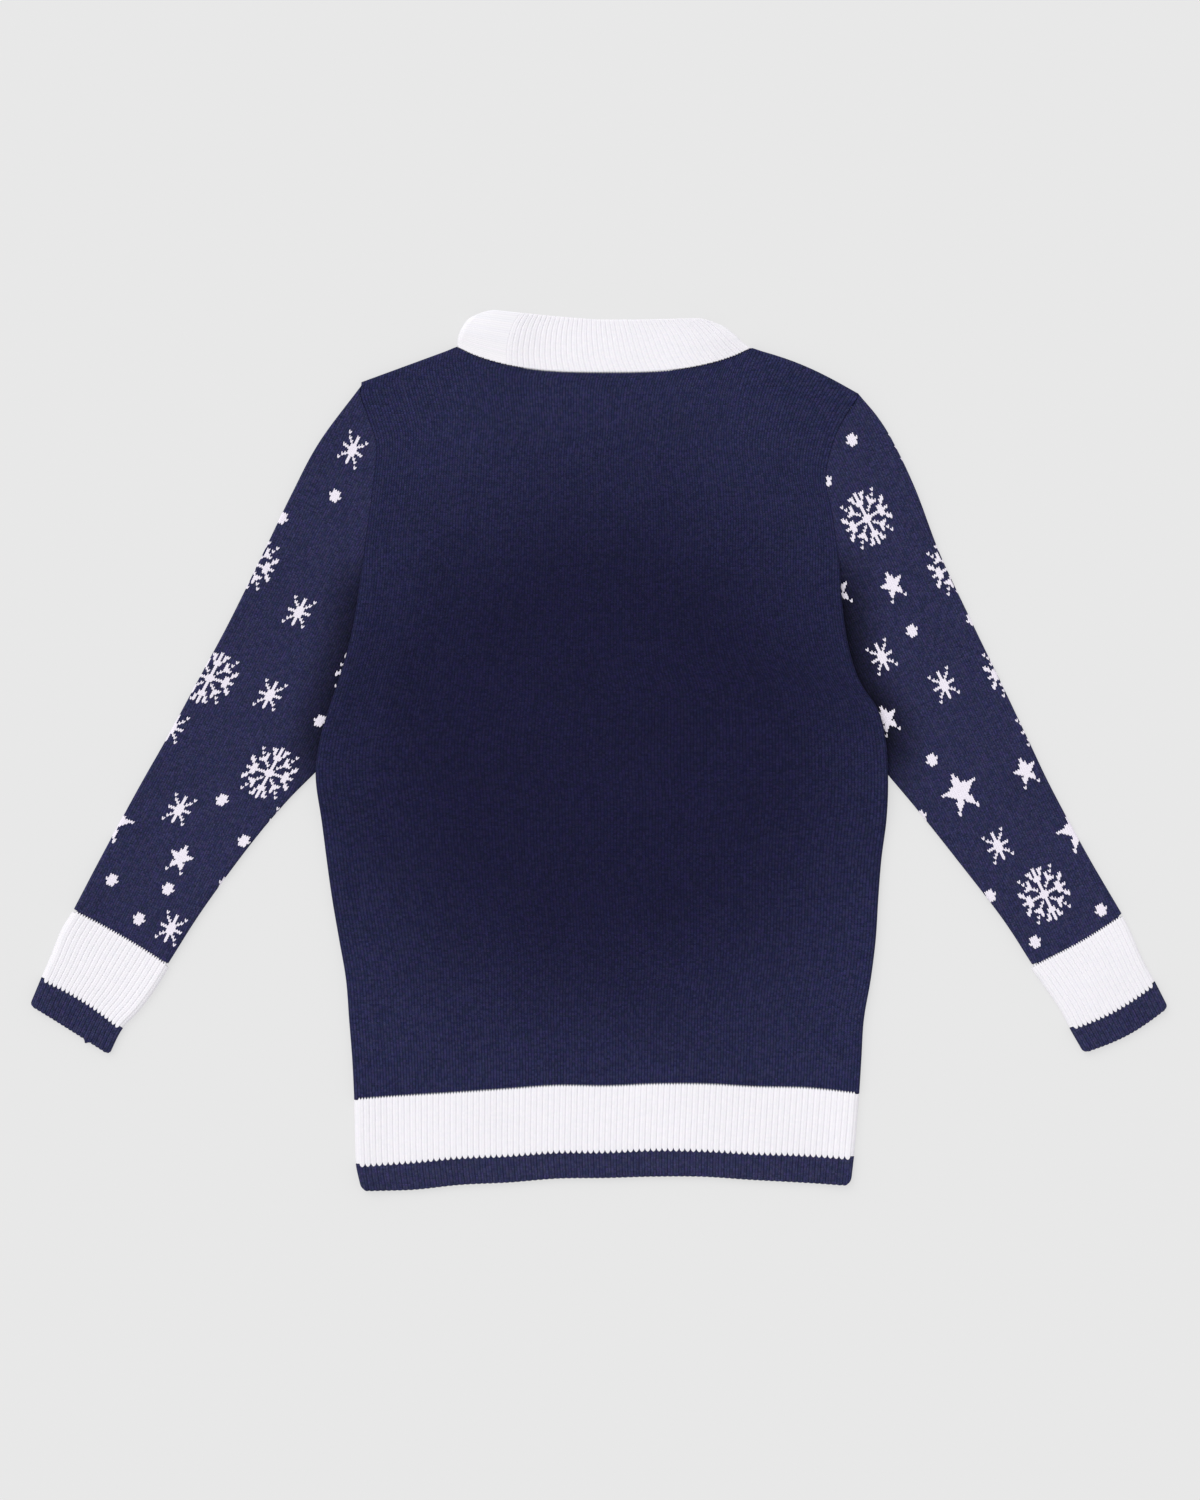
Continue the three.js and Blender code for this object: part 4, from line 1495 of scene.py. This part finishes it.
            sockets = {n: found[term] for n, term in enumerate(terms) if isinstance(term, str)}
            step = add_node(tree, "ShaderNodeMath", {"operation": operation, **numbers}, sockets)
            found[result] = step.outputs[0]
        return found["height"]

    def stitch_grain(self, tree: Tree, yarn: Socket) -> Socket:
        """Makes single stitches lighter, darker or differently tinted, by chance.

        Args:
            tree: The material's node tree.
            yarn: The colour before.

        Returns:
            The colour times a random tone and a random tint, both the same within a stitch.
        """
        stitch = add_node(tree, "ShaderNodeUVMap", {"uv_map": STITCH_MAP}).outputs["UV"]
        cell = add_node(tree, "ShaderNodeVectorMath", {"operation": "FLOOR"}, {0: stitch}).outputs[0]
        chance = add_node(
            tree, "ShaderNodeTexWhiteNoise", {"noise_dimensions": "2D"}, {"Vector": cell},
        )
        tone = add_node(
            tree, "ShaderNodeMapRange",
            {"To Min": 1 - self.stitch_tone, "To Max": 1 + self.stitch_tone},
            {"Value": chance.outputs["Value"]},
        ).outputs["Result"]
        least, most = (1 - self.stitch_tint,) * 3, (1 + self.stitch_tint,) * 3
        tint = add_node(
            tree, "ShaderNodeMapRange", {"data_type": "FLOAT_VECTOR", 9: least, 10: most},
            {6: chance.outputs["Color"]},
        ).outputs[1]
        toned = add_node(
            tree, "ShaderNodeVectorMath", {"operation": "SCALE"}, {0: yarn, "Scale": tone},
        ).outputs[0]
        return add_node(
            tree, "ShaderNodeVectorMath", {"operation": "MULTIPLY"}, {0: toned, 1: tint},
        ).outputs[0]


# Gives the eye smooth dark cloth in fine rows of Vs, with painted light: a lighter navy towards the
# body's edges
NAVY_JERSEY = KnitFinish(
    "navy_acrylic_jersey", "navy_jersey", yarn="#1b1b3b", groove_painted_shade="#0f0f29", painted_light_yarn="#2d3054",
    relief=0.4, sheen=0.03,
)
# The same yarn in the two-colour knit of the sleeves: lighter, more even, with painted light away from
# the middle and painted shade beside the body's edge
NAVY_JACQUARD = KnitFinish(
    "navy_acrylic_jacquard", "navy_jacquard", yarn="#2d2e51", groove_painted_shade="#1d1e3b",
    painted_light_yarn="#323457", relief=0.4, sheen=0.04, hollowed=True,
)
# Soft navy whose ribs are shaped, so that the colour only adds the stitches, painted shade between them
# and painted light towards the edges
NAVY_RIB = KnitFinish(
    "navy_acrylic_rib", "navy_rib", yarn="#2f3153", groove_painted_shade="#1d1f3b", painted_light_yarn="#343658",
    relief=0.35, sheen=0.04,
)
# Clean cool white with hardly any grain, so that the shadows of the shaped ribs draw its lines, with
# faint painted shade between the stitches
WHITE_RIB = KnitFinish(
    "white_acrylic_rib", "white_rib", yarn="#f6f4f9", groove_painted_shade="#eeebf2", painted_light_yarn="#f6f4f9",
    relief=0.2, sheen=0.05, tone_depth=0.012, stitch_tone=0.012, stitch_tint=0.008,
    yarn_grain=0.015,
)
# Single white stitches, each a shaped V, so the yarn is nearly plain, with a trace of its nap
WHITE_YARN = KnitFinish(
    "white_acrylic_yarn", "white_rib", yarn="#f1ebf6", groove_painted_shade="#e6dfed", painted_light_yarn="#f1ebf6",
    relief=0.12, sheen=0.05, tone_depth=0.01, yarn_grain=0.02, stitched=False,
)


@dataclass
class Wardrobe:
    """Keeps one material for each finish and dresses the pieces."""

    made: dict[str, bpy.types.Material] = field(default_factory=dict)

    def dress(self, piece: bpy.types.Object, finish: KnitFinish) -> None:
        """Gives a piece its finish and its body.

        Args:
            piece: The piece.
            finish: Its finish.
        """
        if finish.name not in self.made:
            self.made[finish.name] = finish.build()
        piece.data.materials.append(self.made[finish.name])
        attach(piece, "root")
        LOG.info("%s: %d faces", piece.name, len(piece.data.polygons))

    def add_cloth(
        self,
        shell: Shell,
        finish: KnitFinish,
        node: str,
        cut: "Cut",
        with_pieces: Sequence[bpy.types.Object] = (),
    ) -> None:
        """Makes and dresses a wall of cloth, and hides the solid that it replaces.

        Args:
            shell: The wall.
            finish: Its finish.
            node: The solid that it replaces.
            cut: The cloth's flat size. Not used.
            with_pieces: Separate pieces on the sheet. Not used.
        """
        piece = shell.build()
        self.dress(piece, finish)
        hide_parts(node)


@dataclass(frozen=True)
class Cut:
    """Flat size that a piece was knitted to, in millimetres, and what it lies on."""

    width: float
    length: float
    rests_on: tuple[str, ...]


@dataclass
class Body:
    """Back and front of the body."""

    wardrobe: Wardrobe
    height: float = JERSEY_HEIGHT
    wall: float = JERSEY_WALL
    back_cut: Cut = Cut(465, 640, ("front_knit", "sleeve_left_knit", "sleeve_right_knit"))
    front_cut: Cut = Cut(465, 640, ("sleeve_left_knit", "sleeve_right_knit", "floor"))

    def surface(self, is_back: bool) -> PanelSurface:
        """Surface of the back or the front, notched at the neck seam for the band's bumps.

        Args:
            is_back: Whether it is the back.

        Returns:
            The panel's surface.
        """
        sag = float(NECK.at("backSag" if is_back else "frontSag", 0))
        power = float(NECK.at("backPower", 0)) if is_back else FRONT_SEAM_POWER

        def high(u: Number) -> Number:
            """Upper edge, set in by the bumps of the neck seam."""
            return upper_edge(u, sag, power) - neck_bump(TIP_LEFT_X + TIP_TUCK + u * TIP_SPAN)

        return PanelSurface(
            is_back=is_back,
            wall=self.wall,
            height=self.height,
            low=lambda u: hem_tooth_line(u) + SEAM_GAP / 2,
            high=high,
            top_curl=lambda u: np.maximum(LEAST_CURL, ramp(outside_neck(u), 0, NECK_POINT_BLEND)),
            top_puff=lambda u: ramp(outside_neck(u), -NECK_PUFF_BLEND, 0),
            over_sleeve=True,
            relief=lambda u: 0.0,
        )

    def build(self) -> None:
        """Makes and dresses both panels: the back fine, the hidden front coarser."""
        edge = Edge(SEAM_RADIUS, steps=3)
        for side, rows, columns, turns, cut in (
            ("back", Rows.make(92, low=edge, curl_steps=5), 2 * HEM_WALES, 6, self.back_cut),
            ("front", Rows.make(60, low=edge, curl_steps=4), HEM_WALES, 5, self.front_cut),
        ):
            surface = self.surface(is_back=side == "back")
            shell = panel_shell(f"{side}_knit", surface, rows, even_steps(columns), turns)
            self.wardrobe.add_cloth(shell, NAVY_JERSEY, f"{side}_panel", cut)


@dataclass
class Hem:
    """White ribbed band and navy tipping of the hem, on the back and on the front."""

    wardrobe: Wardrobe
    height: float = RIB_HEIGHT
    wall: float = RIB_WALL
    corner: float = 7.0
    band_cut: Cut = Cut(430, 62, ("floor",))
    tip_cut: Cut = Cut(420, 30, ("floor",))

    def surface(self, is_back: bool, low: Line, high: Line, corner: float) -> PanelSurface:
        """Surface of one band between two lines, ribbed on the back, plain on the front."""
        return PanelSurface(
            is_back=is_back,
            wall=self.wall,
            height=self.height,
            low=low,
            high=high,
            top_curl=lambda u: 0.0 * u,
            top_puff=lambda u: 0.0 * u,
            over_sleeve=False,
            relief=lambda u: RIB_RELIEF * ridges(HEM_RIBS * u),
            corner=corner,
        )

    def build(self) -> None:
        """Makes and dresses the two bands of each side."""
        sewn, free = Edge(SEAM_RADIUS, steps=3), Edge(self.wall / 2, steps=3)
        gap = SEAM_GAP / 4
        for side, is_back in (("back", True), ("front", False)):
            band = self.surface(
                is_back, lambda u: hem_scallop_line(u) + gap, lambda u: hem_tooth_line(u) - gap, 0,
            )
            tip = self.surface(is_back, hem_edge_line, lambda u: hem_scallop_line(u) - gap, self.corner)
            across = rib_steps(HEM_RIBS) if is_back else even_steps(2 * HEM_WALES)
            for part, surface, count, low, finish, cut in (
                ("rib", band, 10, sewn, WHITE_RIB, self.band_cut),
                ("tip", tip, 5, free, NAVY_RIB, self.tip_cut),
            ):
                node = f"hem_{part}_{side}"
                rows = Rows.make(count, low, sewn)
                shell = panel_shell(f"{node}_knit", surface, rows, across, turns=5)
                self.wardrobe.add_cloth(shell, finish, node, cut)


@dataclass
class Sleeve:
    """One sleeve: a flat tube of navy jersey with white motifs knitted in."""

    wardrobe: Wardrobe
    side_name: str
    side: int
    table: SmoothTable
    motifs: Sequence[Motif]
    lean: SmoothTable
    # Strength of the painted shade beside the body's edge
    hollow_depth: float
    wall: float = JERSEY_WALL
    height: float = JERSEY_HEIGHT
    tilt: float = 27.0
    rows: int = 200
    inner_rise: tuple[float, float] = (0.6, 0.9)
    # Width of the painted shade out from the body's edge, and the heights between which it fades out at
    # the top and at the bottom
    hollow_width: float = 38.0
    hollow_high: tuple[float, float] = (175.0, 110.0)
    hollow_low: tuple[float, float] = (-50.0, 10.0)
    cut: Cut = Cut(430, 500, ("floor",))

    def limb(self) -> LimbSurface:
        """Plan and height of the sleeve. Its inner fold is lower where the body lies on it."""
        def inner_top(along: Number) -> Number:
            """Height of the inner fold."""
            return lerp(JERSEY_HEIGHT, TUBE_EDGE_TOP, ramp(along, *self.inner_rise))

        return LimbSurface(self.table, self.side, self.height, inner_top, has_armhole=True)

    def stitch_map(self, outer: np.ndarray) -> np.ndarray:
        """Place of each point in the knit: its plan turned by the sleeve's tilt.

        Args:
            outer: The outer grid.

        Returns:
            Wale and course, of shape (rows, columns + 1, 2).
        """
        tilt = math.radians(self.tilt) * -self.side
        x, y = with_first(outer[..., 0]), with_first(outer[..., 1])
        wale = (x * math.cos(tilt) - y * math.sin(tilt)) / SLEEVE_WALE
        course = (x * math.sin(tilt) + y * math.cos(tilt)) / COURSE
        return np.stack([wale, course], -1)

    def hollow(self, outer: np.ndarray, turn: np.ndarray) -> np.ndarray:
        """Depth of the upper layer's painted shade, full at the body's edge and 0 away from it.

        Args:
            outer: The outer grid.
            turn: Angle round the fold of each column.

        Returns:
            The depth at each point, the product of soft steps across, up and down the sleeve.
        """
        x, y = outer[..., 0], outer[..., 1]
        edge = left_side(y) if self.side < 0 else right_side(y)
        near = ramp((x - edge) * self.side, self.hollow_width, 0) * np.maximum(np.sin(turn), 0)
        return self.hollow_depth * near * ramp(y, *self.hollow_high) * ramp(y, *self.hollow_low)

    def build(self) -> None:
        """Makes the tube and its white stitches."""
        limb = self.limb()
        tube = limb.tube(self.wall)
        f, turn, _ = tube_columns(even_steps(2 * CUFF_WALES), lower=26, turns=9)
        edge = Edge(SEAM_RADIUS, steps=3)
        rows = Rows.make(self.rows, edge, edge)
        tooth = (SEAM_GAP / 2 + TOOTH_HEIGHT * (0.5 - teeth(CUFF_WALES * f))) / SLEEVE_LENGTH
        along = rows.along(SLEEVE_LENGTH) * (1 - tooth)
        outer, inner = tube.layers(f, turn, along, rows.skin)
        node = f"sleeve_{self.side_name}"
        shell = Shell(
            f"{node}_knit", outer, inner, self.stitch_map(outer), True, self.hollow(outer, turn),
        )
        white = StitchLegs(f"{node}_white_stitches", limb, self.motifs, self.lean).build()
        self.wardrobe.dress(white, WHITE_YARN)
        self.wardrobe.add_cloth(shell, NAVY_JACQUARD, node, self.cut, with_pieces=[white])


@dataclass
class Cuff:
    """White ribbed cuff and its navy tipping."""

    wardrobe: Wardrobe
    side_name: str
    side: int
    table: SmoothTable
    seam_end: Optional[float] = None
    wall: float = RIB_WALL
    height: float = RIB_HEIGHT
    corner: float = 1.8
    fold_wales: int = 4
    seam_end_height: float = 2.2
    seam_end_width: float = 0.02
    band_cut: Cut = Cut(200, 66, ("floor",))
    tip_cut: Cut = Cut(180, 30, ("floor",))

    def free_edge(self, f: np.ndarray, turn: np.ndarray, width: float) -> np.ndarray:
        """Free edge of the tipping: slight bumps, round corners, and the knot of the seam's end.

        Args:
            f: Fraction across of each column.
            turn: Angle round the fold of each column.
            width: Width of the cuff at its edge.

        Returns:
            The edge's place along the cuff, with the knot as a narrow bell curve.
        """
        edge = EDGE_BUMP * (scallops(CUFF_RIBS * f) - 0.5)
        edge = edge - corner_drop(distance_from_fold(f, turn, width), self.corner)
        if self.seam_end is not None:
            off = (f - self.seam_end) / self.seam_end_width
            edge = edge + self.seam_end_height * np.exp(-(off**2))
        return CUFF_EDGE + edge / CUFF_LENGTH

    def build(self) -> None:
        """Makes and dresses the band and the tipping."""
        limb = LimbSurface(
            self.table, self.side, self.height, lambda along: TUBE_EDGE_TOP, has_armhole=False,
        )
        tube = limb.tube(self.wall, lambda f, along: RIB_RELIEF * ridges(CUFF_RIBS * f))
        sewn, free = Edge(SEAM_RADIUS, steps=3), Edge(self.wall / 2, steps=3)
        fold = self.fold_wales / CUFF_WALES
        f, turn, count = tube_columns(rib_steps(CUFF_RIBS), 4 * CUFF_RIBS, turns=7, fold=fold)
        wale = np.concatenate([count, count[:, :1] + 2 * (1 + fold)], axis=1) * CUFF_WALES
        gap = SEAM_GAP / 4 / CUFF_LENGTH
        tooth = gap + TOOTH_HEIGHT * (teeth(CUFF_WALES * f) - 0.5) / CUFF_LENGTH
        scallop = SCALLOP_HEIGHT * (scallops(CUFF_RIBS * f) - 0.5) / CUFF_LENGTH
        tip_end = self.free_edge(f, turn, float(limb.width(CUFF_EDGE)))
        for part, start, end, steps, last, finish, cut in (
            ("cuff", -tooth, 1 + scallop - gap, 12, sewn, WHITE_RIB, self.band_cut),
            ("cuff_tip", 1 + scallop + gap, tip_end, 6, free, NAVY_RIB, self.tip_cut),
        ):
            rows = Rows.make(steps, sewn, last)
            length = CUFF_LENGTH * float(np.mean(end - start))
            along = lerp(start, end, rows.along(length))
            outer, inner = tube.layers(f, turn, along, rows.skin)
            course = with_first(along) * CUFF_LENGTH / COURSE
            stitches = np.stack(np.broadcast_arrays(wale, -course), -1)
            node = f"{part}_{self.side_name}"
            shell = Shell(f"{node}_knit", outer, inner, stitches, True)
            self.wardrobe.add_cloth(shell, finish, node, cut)


@dataclass
class Neckband:
    """White ribbed ring, pressed flat, with a smooth puffed fold at its left end."""

    wardrobe: Wardrobe
    wall: float = NECKBAND_WALL
    length: float = 43.0
    corner: float = 12.0
    smooth_end: float = 0.15
    ribbed_from: float = 0.19
    fold_wales: int = 3
    puffed: tuple[float, float] = (0.35, 0.9)
    cut: Cut = Cut(500, 52, ("front_knit", "floor"))

    def plan(self, t: Number, up: Number, rise: Number) -> tuple[Number, Number]:
        """Place in plan, on the front's curve, the back's, or between them in a fold.

        Args:
            t: Fraction across between the folds.
            up: 0 on the lower layer, 1 on the upper one.
            rise: Place from the seam (0) to the upper edge (1).

        Returns:
            x, a straight mix of the folds', and y, a mix of the two curves'.
        """
        left_x, right_x = NECK.at("leftX", rise), NECK.at("rightX", rise)
        left_y, right_y = NECK.at("leftY", rise), NECK.at("rightY", rise)
        back = sag_line(t, left_y, right_y, NECK.at("backSag", rise), NECK.at("backPower", rise))
        front = sag_line(t, left_y, right_y, NECK.at("frontSag", rise), FRONT_SEAM_POWER)
        return lerp(left_x, right_x, t), lerp(front, back, up)

    def top(self, t: Number, rise: Number) -> Number:
        """Height of the ring: low in the middle, puffed at the folds."""
        side = ramp(np.abs(2 * t - 1), *self.puffed)
        return lerp(NECK.at("middleTop", rise), NECK.at("sideTop", rise), side)

    def relief(self, f: Number, rise: Number) -> Number:
        """Height of the ribs, which fade out on the smooth left end."""
        return RIB_RELIEF * ridges(NECK_RIBS * f) * ramp(f, self.smooth_end, self.ribbed_from)

    def width(self, rise: Number) -> Number:
        """Distance between the folds."""
        return NECK.at("rightX", rise) - NECK.at("leftX", rise)

    def build(self) -> None:
        """Makes and dresses the ring."""
        surface = TubeSurface(self.wall, self.width, self.top, self.plan, self.relief)
        wales = WALES_A_RIB * NECK_RIBS
        fold = self.fold_wales / wales
        f, turn, count = tube_columns(rib_steps(NECK_RIBS), lower=64, turns=9, fold=fold)
        rows = Rows.make(16, Edge(SEAM_RADIUS, steps=3), Edge(self.wall / 2, steps=5))
        bump = neck_bump(lerp(NECK_LEFT_X, NECK_RIGHT_X, f)) * np.maximum(np.sin(turn), 0)
        corner = corner_drop(distance_from_fold(f, turn, float(self.width(1.0))), self.corner)
        share = rows.along(self.length)
        rise = lerp(-bump / self.length, 1 - corner / self.length, share)
        outer, inner = surface.layers(f, turn, rise, rows.skin)
        wale = np.maximum(count * wales, self.smooth_end * wales + 0.5)
        wale = np.concatenate([wale, wale[:, -1:]], axis=1)
        course = with_first(rise) * self.length / COURSE
        stitches = np.stack(np.broadcast_arrays(wale, course), -1)
        shell = Shell("neckband_knit", outer, inner, stitches, True)
        self.wardrobe.add_cloth(shell, WHITE_RIB, "neckband", self.cut)


@dataclass
class Studio:
    """Pale floor, soft light and the camera straight above."""

    floor_size: float = 8.0
    floor_colour: str = "#7c7c7c"
    floor_glow: float = 0.6
    floor_height: float = -0.0002
    floor_unevenness: float = 0.005
    floor_cells: float = 3.0
    camera_height: float = 2.8375
    camera_x: float = 0.0008
    camera_y: float = -0.0004
    lens: float = 85.0
    world_strength: float = 0.72
    key_strength: float = 1.3
    key_spread: float = 50.0
    key_from: tuple[float, float, float] = (-0.5, 0.62, 0.9)

    def build(self) -> None:
        """Makes the floor, the world's light, the key light and the camera."""
        self.build_floor()
        self.build_light()
        self.build_camera()

    def build_floor(self) -> None:
        """Pale translucent sheet lit from below as well: matt, and it softens the shadows."""
        half = self.floor_size / 2
        corners = np.array([[-half, -half], [half, -half], [half, half], [-half, half]])
        points = np.column_stack([corners, np.full(4, self.floor_height)])
        floor = mesh_object("floor", points, np.array([[0, 1, 2, 3]]))
        material = new_material("backlit_acrylic_sheet")
        tree = material.node_tree
        place = add_node(tree, "ShaderNodeTexCoord").outputs["Object"]
        noise = add_node(tree, "ShaderNodeTexNoise", {"Scale": self.floor_cells}, {"Vector": place})
        shade = add_node(
            tree, "ShaderNodeMapRange",
            {"To Min": 1 - self.floor_unevenness, "To Max": 1 + self.floor_unevenness},
            {"Value": noise.outputs["Fac"]},
        ).outputs["Result"]
        colour = add_node(
            tree, "ShaderNodeVectorMath",
            {"operation": "SCALE", 0: linear_colour(self.floor_colour)[:3]}, {"Scale": shade},
        ).outputs[0]
        shader = add_node(
            tree, "ShaderNodeBsdfPrincipled",
            {
                "Roughness": 1.0,
                "Specular IOR Level": 0.0,
                "Emission Color": (1.0, 1.0, 1.0, 1.0),
                "Emission Strength": self.floor_glow,
            },
            {"Base Color": colour},
        ).outputs["BSDF"]
        add_node(tree, "ShaderNodeOutputMaterial", links={"Surface": shader})
        floor.data.materials.append(material)

    def build_light(self) -> None:
        """Even light from all round, and a wide soft key from the upper left."""
        world = bpy.data.worlds.new("studio")
        world.use_nodes = True
        background = world.node_tree.nodes["Background"]
        background.inputs["Color"].default_value = (1, 1, 1, 1)
        background.inputs["Strength"].default_value = self.world_strength
        bpy.context.scene.world = world
        light = bpy.data.lights.new("key", "SUN")
        light.energy = self.key_strength
        light.angle = math.radians(self.key_spread)
        key = bpy.data.objects.new("key", light)
        key.location = self.key_from
        key.rotation_euler = key.location.to_track_quat("Z", "Y").to_euler()
        bpy.context.scene.collection.objects.link(key)
        bpy.context.scene.view_settings.view_transform = "Standard"

    def build_camera(self) -> None:
        """Camera straight above, whose frame is 0.96 by 1.2 m at the floor."""
        data = bpy.data.cameras.new("camera")
        data.lens = self.lens
        camera = bpy.data.objects.new("camera", data)
        camera.location = (self.camera_x, self.camera_y, self.camera_height)
        bpy.context.scene.collection.objects.link(camera)
        bpy.context.scene.camera = camera


def main() -> None:
    """Builds the studio, then the jumper's pieces in order."""
    logging.basicConfig(level=logging.INFO, format="%(name)s %(message)s")
    wardrobe = Wardrobe()
    Studio().build()
    Body(wardrobe).build()
    Hem(wardrobe).build()
    Sleeve(wardrobe, "left", -1, SLEEVE_LEFT, MOTIFS_LEFT, LEAN_LEFT, hollow_depth=0.6).build()
    Sleeve(wardrobe, "right", 1, SLEEVE_RIGHT, MOTIFS_RIGHT, LEAN_RIGHT, hollow_depth=0.75).build()
    Cuff(wardrobe, "left", -1, CUFF_LEFT, seam_end=0.735).build()
    Cuff(wardrobe, "right", 1, CUFF_RIGHT).build()
    Neckband(wardrobe).build()


if __name__ == "__main__":
    main()
